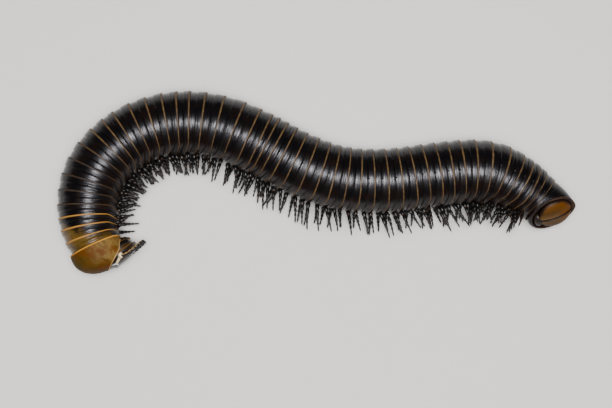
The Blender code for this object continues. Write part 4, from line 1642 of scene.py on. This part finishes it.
@dataclass
class Feelers:
    """The two antennae of seven joints, each thicker towards its end."""

    head: HeadFrame
    path: tuple[Point, ...] = (
        (2.6, 4.0, 3.1), (2.75, 4.5, 3.7), (2.7, 5.2, 4.0), (2.45, 5.95, 4.0),
        (2.15, 6.65, 3.85), (1.85, 7.3, 3.55), (1.6, 7.85, 3.2), (1.45, 8.25, 2.9),
    )
    radii: tuple[float, ...] = (0.30, 0.33, 0.36, 0.36, 0.36, 0.38, 0.31)
    joint_rows: Table = (
        (0.0, 0.42), (0.05, 0.58), (0.14, 0.72), (0.3, 0.84), (0.5, 0.94), (0.7, 1.02), (0.85, 1.0),
        (0.95, 0.82), (0.99, 0.5),
    )
    lower_aside: float = 3.6
    line_side: Point = (-0.55, 0.6, 0.62)
    floor_gap: float = 0.3
    cones: int = 4
    cone_reach: Triple = (0.0, 0.08, 0.14)
    cone_radii: Triple = (0.05, 0.04, 0.015)
    hairs: int = 14
    hair_root: float = 0.85
    hair_reach: Triple = (0.0, 0.12, 0.24)
    hair_radii: Triple = (0.02, 0.014, 0.004)
    hair_lean: float = 1.1
    sides: int = 24
    seed: int = 5

    def spine(self, side: int) -> Array:
        """Joint points of one feeler, kept clear of the floor.

        Args:
            side: 1 for the left feeler and -1 for the right.

        Returns:
            Points in the model's frame, from root to tip.
        """
        path = np.array(self.path)
        if side < 0:
            path[:, 2] = -np.minimum(path[:, 2], self.lower_aside)
        placed = self.head.place(path)
        placed[:, 2] = np.maximum(placed[:, 2], max(self.radii) + self.floor_gap)
        return placed

    def build(self) -> None:
        """Builds both feelers."""
        for name, side in (("left", 1), ("right", -1)):
            self.build_one(name, side)

    def build_one(self, name: str, side: int) -> None:
        """One feeler: club-shaped joints, pale skin between them, bristles and four small end cones.

        Args:
            name: Left or right.
            side: 1 for the left feeler and -1 for the right.
        """
        spine = self.spine(side)
        draw = np.random.default_rng(self.seed + side)
        left = self.head.directions()[2]
        skin = Skin()
        share, swell = np.array(self.joint_rows).T
        for joint, radius in enumerate(self.radii):
            first, last = spine[joint], spine[joint + 1]
            spots = first + share[:, None] * (last - first)
            aside = unit(np.cross(last - first, left))
            pale = np.where(share < 0.1, 1.0, np.where(share > 0.96, 0.7, 0.0))[:, None]
            grid = tube(spots, radius * swell, self.sides, aside)
            facing = unit(grid - spots[:, None]) @ unit(np.array(self.line_side))
            line = step(0.86, 0.97, facing) * (share[:, None] < 0.96)
            skin.add(grid, joint=pale, reach=0.2, line=line)
            self.add_bristles(skin, spots, radius, aside, draw)
        lie = unit(spine[-1] - spine[-2])
        aside = unit(np.cross(lie, left))
        other = np.cross(lie, aside)
        for turn in math.pi / 4 + around(self.cones):
            root = spine[-1] - 0.03 * lie + 0.1 * (math.cos(turn) * aside + math.sin(turn) * other)
            cone = root + np.array(self.cone_reach)[:, None] * lie
            skin.add(tube(cone, np.array(self.cone_radii), 8, aside), joint=0.8, reach=1.0)
        present(skin, f"feeler_{name}", LimbHorn(), Slot.LIMB, f"antenna_{name}")

    def add_bristles(
        self, skin: Skin, spots: Array, radius: float, aside: Array, draw: np.random.Generator,
    ) -> None:
        """Short hairs round the thick part of a joint.

        Args:
            skin: Skin of the feeler.
            spots: Stations along the joint.
            radius: Radius of the joint.
            aside: A direction square to the joint.
            draw: Source of each hair's turn and station.
        """
        lie = unit(spots[-1] - spots[0])
        turn = draw.uniform(0, FULL_TURN, (self.hairs, 1))
        out = np.cos(turn) * aside + np.sin(turn) * np.cross(lie, aside)
        root = spots[draw.integers(4, 8, self.hairs)] + self.hair_root * radius * out
        way = out + self.hair_lean * lie
        hairs = bristles(root, way, unit(np.cross(out, lie)), self.hair_reach, self.hair_radii)
        skin.add(hairs, joint=0.0, reach=1.0)


# Tail


@dataclass
class Tail:
    """The telson's ring, cut obliquely, with the two anal valves and the scale that close it.

    A row of lip gives the radius, the share of the point and the depth of one loop.
    """

    course: Course
    margin: float
    length: float = 3.0
    bend: float = 25
    drop: float = 1.15
    fullness: float = 0.07
    rim: float = 3.35
    full_bumps: tuple[Triple, ...] = ((-0.010, 0.905, 0.02), (0.006, 0.96, 0.04))
    lip: tuple[Triple, ...] = (
        (3.29, 1, -0.05), (3.2, 1, -0.06), (3.095, 0.7, 0), (3.05, 0, 0.25), (3.05, 0, 0.7), (1.6, 0, 0.8),
    )
    tuck: float = 0.32
    point: float = 0.3
    point_spread: float = 30
    tilt: float = 34
    valve_half: Point = (1.2, 3.05, 3.0)
    valve_power: float = 2.2
    valve_tip_power: float = 1.9
    valve_centre: float = -0.35
    cleft: float = 0.1
    cleft_drop: tuple[float, float] = (0.55, 0.07)
    valve_back: float = -0.22
    valve_wall: float = -0.15
    border_scale: float = 2.8
    cleft_bumps: tuple[Triple, ...] = ((0.10, 0.24, 0.13), (-0.05, 0.52, 0.12))
    scale_half: Point = (0.85, 0.85, 1.35)
    scale_centre: float = 2.6
    scale_power: float = 2.2
    scale_front: float = 2.55
    scale_hollow: float = 0.02
    columns: int = 144
    number: float = 47

    def __post_init__(self) -> None:
        """Sets up the bent directions and the opening's middle."""
        stance = self.course.stance(self.margin)
        bend, tilt = math.radians(self.bend), math.radians(self.tilt)
        self.stance = stance
        self.bent_left = math.cos(bend) * stance.left - math.sin(bend) * stance.tailward
        self.along = math.cos(bend) * stance.tailward + math.sin(bend) * stance.left
        self.outward = math.cos(tilt) * self.along - math.sin(tilt) * stance.dorsal
        self.bellyward = -math.cos(tilt) * stance.dorsal - math.sin(tilt) * self.along
        middle = self.length * unit(self.along + stance.tailward) - self.drop * stance.dorsal
        self.opening = stance.point + middle

    def place(self, points: Array) -> Array:
        """From distances out of the opening, towards the belly and to the left to the model's frame."""
        return self.opening + points @ np.stack([self.outward, self.bellyward, self.bent_left])

    def loop(self, radius: float, pointed: float = 0.0, sunk: float = 0.0) -> Array:
        """Points round the oblique opening.

        Args:
            radius: Distance from the telson's axis.
            pointed: Share of the small point at mid-dorsum.
            sunk: Distance that the loop lies inside the opening.

        Returns:
            The loop.
        """
        turn = around(self.columns)[:, None]
        off_top = (np.degrees(turn) + 180) % 360 - 180
        point = self.point * bump_at(0, self.point_spread, off_top)
        reach = radius * math.tan(math.radians(self.tilt)) * np.cos(turn) + pointed * point - sunk
        spoke = np.cos(turn) * self.stance.dorsal + np.sin(turn) * self.bent_left
        return self.opening + reach * self.along + radius * spoke

    def build(self) -> None:
        """Builds the telson, the valves and the scale."""
        self.build_telson()
        for name, side in (("left", 1), ("right", -1)):
            self.build_valve(name, side)
        self.build_scale()

    def build_telson(self) -> None:
        """The ring: straight lines from the last ring to the rim, made full by 4 t (1 - t), and a lip."""
        turn = around(self.columns)[:, None]
        girth = float(self.course.radius(self.margin))
        spokes = np.cos(turn) * self.stance.dorsal + np.sin(turn) * self.stance.left
        front = self.stance.point + 0.95 * girth * spokes
        under = self.stance.point - self.tuck * self.stance.tailward
        rim = self.loop(self.rim, 1)
        share = np.concatenate([np.linspace(0, 0.86, 16), [0.89, 0.91, 0.93, 0.96, 1.0]])
        full = self.fullness * 4 * share * (1 - share)
        full = full + bumps(self.full_bumps, share)
        rows = [under + size * girth * spokes for size in (0.6, 0.93)]
        rows += [front + s * (rim - front) + f * girth * spokes for s, f in zip(share, full)]
        rows += [self.loop(*row) for row in self.lip]
        span = self.length * 1.05
        place = np.concatenate([[-0.3, -0.3], share * span, np.full(len(self.lip), span)])
        rim_marks = np.concatenate([[span, span], (1 - share) * span, [0, 0, 0, 0.1, 0.4, 0.6]])
        skin = Skin()
        skin.add(
            self.course.settle(np.stack(rows)), rim=rim_marks[:, None], share=0.6, back=np.cos(turn).T,
            along=(self.margin + place)[:, None], number=self.number, arc=(turn * girth).T,
        )
        horn = RingHorn(name="telson_horn", brown=(0.008, 0.0033, 0.0018), gold=(0.024, 0.010, 0.0035))
        present(skin, "telson_ring", horn, Slot.RINGS, "telson")

    def build_valve(self, name: str, side: int) -> None:
        """One valve.

        Formula: at a height v from -1 to 1 the half width is c (1 - |v|^p)^(1/p), and the surface stands
        out by a (1 - |v|^p - |l / c|^p)^(1/p), with a bead along the cleft and a rounded drop into it.
        The power falls towards the belly, which makes that end pointed. The loop then returns
        underneath.

        Args:
            name: Left or right.
            side: 1 for the left valve and -1 for the right.
        """
        out_half, down_half, left_half = self.valve_half
        v = np.sin(np.linspace(-0.985, 0.985, 72) * math.pi / 2)[:, None]
        power = self.valve_power + (self.valve_tip_power - self.valve_power) * step(-0.2, 0.5, v)
        width = left_half * (1 - np.abs(v) ** power) ** (1 / power)
        q = np.linspace(0, 1, 34)[None, :]
        breadth = np.maximum(width - self.cleft, 0.02)
        aside = self.cleft + breadth * np.sin(q * math.pi / 2) ** 1.35
        dome = np.clip(1 - np.abs(v) ** power - (aside / left_half) ** power, 0, None) ** (1 / power)
        crest = np.clip(width, 0, 0.5) / 0.5
        out = out_half * dome + crest * bumps(self.cleft_bumps, aside)
        drop, drop_width = self.cleft_drop
        out = out * (1 - drop * bump_at(self.cleft, drop_width, aside))
        under_aside = self.cleft + breadth * np.array([0.96, 0.6, 0.25])
        under_out = np.full_like(under_aside, self.valve_back)
        wall_out = np.stack([np.full(len(v), self.valve_wall), 0.3 * out[:, 0]], axis=1)
        wall_aside = np.full_like(wall_out, self.cleft)
        all_out = np.concatenate([wall_out, out, under_out], axis=1)
        all_aside = np.concatenate([wall_aside, aside, under_aside], axis=1)
        all_down = down_half * v * np.ones_like(all_out) + self.valve_centre
        reach = (np.abs(v) ** power + (all_aside / left_half) ** power) ** (1 / power)
        border = np.clip(1 - reach, 0, 1) * self.border_scale
        skin = Skin()
        grid = self.place(np.stack([all_out, all_down, side * all_aside], axis=-1))
        skin.add(self.course.settle(grid), cleft=all_aside - self.cleft, border=border, up=-v)
        present(skin, f"valve_{name}", ValveHorn(), Slot.GOLD, f"anal_valve_{name}")

    def build_scale(self) -> None:
        """The subanal scale: an ellipsoid flattened where it meets the valves."""
        grid = superellipsoid(self.scale_half, self.scale_power, 28, 40) + (0, self.scale_centre, 0)
        flat = self.scale_front + self.scale_hollow * grid[..., 2] ** 2
        grid[..., 1] = np.maximum(grid[..., 1], flat)
        skin = Skin()
        skin.add(self.course.settle(self.place(grid)), brown=0.8, gold=0.05, cream=0.0)
        brown, amber = (0.005, 0.0022, 0.0013), (0.03, 0.014, 0.005)
        horn = HeadHorn(name="plate_horn", brown=brown, amber=amber, gloss=0.42)
        present(skin, "subanal_plate", horn, Slot.MOUTH, "subanal_scale")


# Studio


@dataclass
class Studio:
    """Pale floor, soft lights and the camera at the photograph's angle."""

    aim: Point = (-1.73, -3.72, 5.4)
    elevation: float = 86
    distance: float = 272
    lens: float = 94
    lamp_spot: Point = (0.0, -30.0, 430.0)
    discs: tuple[tuple[str, float, float], ...] = (
        ("core", 140, 3.0), ("halo", 250, 2.5), ("haze", 520, 0.6),
    )
    lamp_tint: Colour = (1.0, 0.99, 0.98)
    air: float = 0.035
    air_tint: Colour = (0.80, 0.86, 1.0)
    floor_reach: float = 3000
    clip: tuple[float, float] = (5, 20000)

    def build(self) -> None:
        """Sets up the floor, the lights and the camera."""
        self.lay_floor()
        for name, size, power in self.discs:
            self.light(name, size, power)
        world = bpy.data.worlds.new("studio_air")
        world.use_nodes = True
        air = world.node_tree.nodes["Background"]
        air.inputs[0].default_value = (*self.air_tint, 1)
        air.inputs[1].default_value = self.air
        bpy.context.scene.world = world
        self.set_camera()

    def lay_floor(self) -> None:
        """A wide pale sheet at Z 0."""
        reach = self.floor_reach * MM
        mesh = bpy.data.meshes.new("floor")
        corners = [(-reach, -reach, 0), (reach, -reach, 0), (reach, reach, 0), (-reach, reach, 0)]
        mesh.from_pydata(corners, [], [(0, 1, 2, 3)])
        floor = bpy.data.objects.new("floor", mesh)
        floor.data.materials.append(mixed(FloorPaper()))
        bpy.context.scene.collection.objects.link(floor)

    def light(self, name: str, size: float, power: float) -> None:
        """A round soft light at the lamps' spot, turned to the animal.

        Args:
            name: Name of the light.
            size: Its width in millimetres.
            power: Its power in watts.
        """
        lamp = bpy.data.lights.new(name, "AREA")
        lamp.shape = "DISK"
        lamp.size = size * MM
        lamp.energy = power
        lamp.color = self.lamp_tint
        made = bpy.data.objects.new(name, lamp)
        made.location = np.array(self.lamp_spot) * MM
        made.rotation_euler = made.location.to_track_quat("Z", "Y").to_euler()
        bpy.context.scene.collection.objects.link(made)

    def set_camera(self) -> None:
        """Looks at the aim from the south, almost straight down."""
        data = bpy.data.cameras.new("view")
        data.lens = self.lens
        data.clip_start, data.clip_end = (distance * MM for distance in self.clip)
        camera = bpy.data.objects.new("view", data)
        raised = math.radians(self.elevation)
        back = np.array([0.0, -math.cos(raised), math.sin(raised)])
        camera.location = (np.array(self.aim) + self.distance * back) * MM
        camera.rotation_euler = (math.pi / 2 - raised, 0, 0)
        bpy.context.scene.collection.objects.link(camera)
        bpy.context.scene.camera = camera


def main() -> None:
    """Builds the animal from the trunk to its two ends, then the studio, and notes the sizes."""
    logging.basicConfig(level=logging.INFO, format="%(name)s %(message)s")
    course = Course()
    rings = RingRow(course)
    rings.build()
    LegRow(course, rings).build()
    head = HeadFrame(course)
    Collum(head, rings).build()
    Head(head).build()
    MouthParts(head).build()
    Feelers(head).build()
    Tail(course, float(rings.margins()[-1])).build()
    Studio().build()


if __name__ == "__main__":
    main()
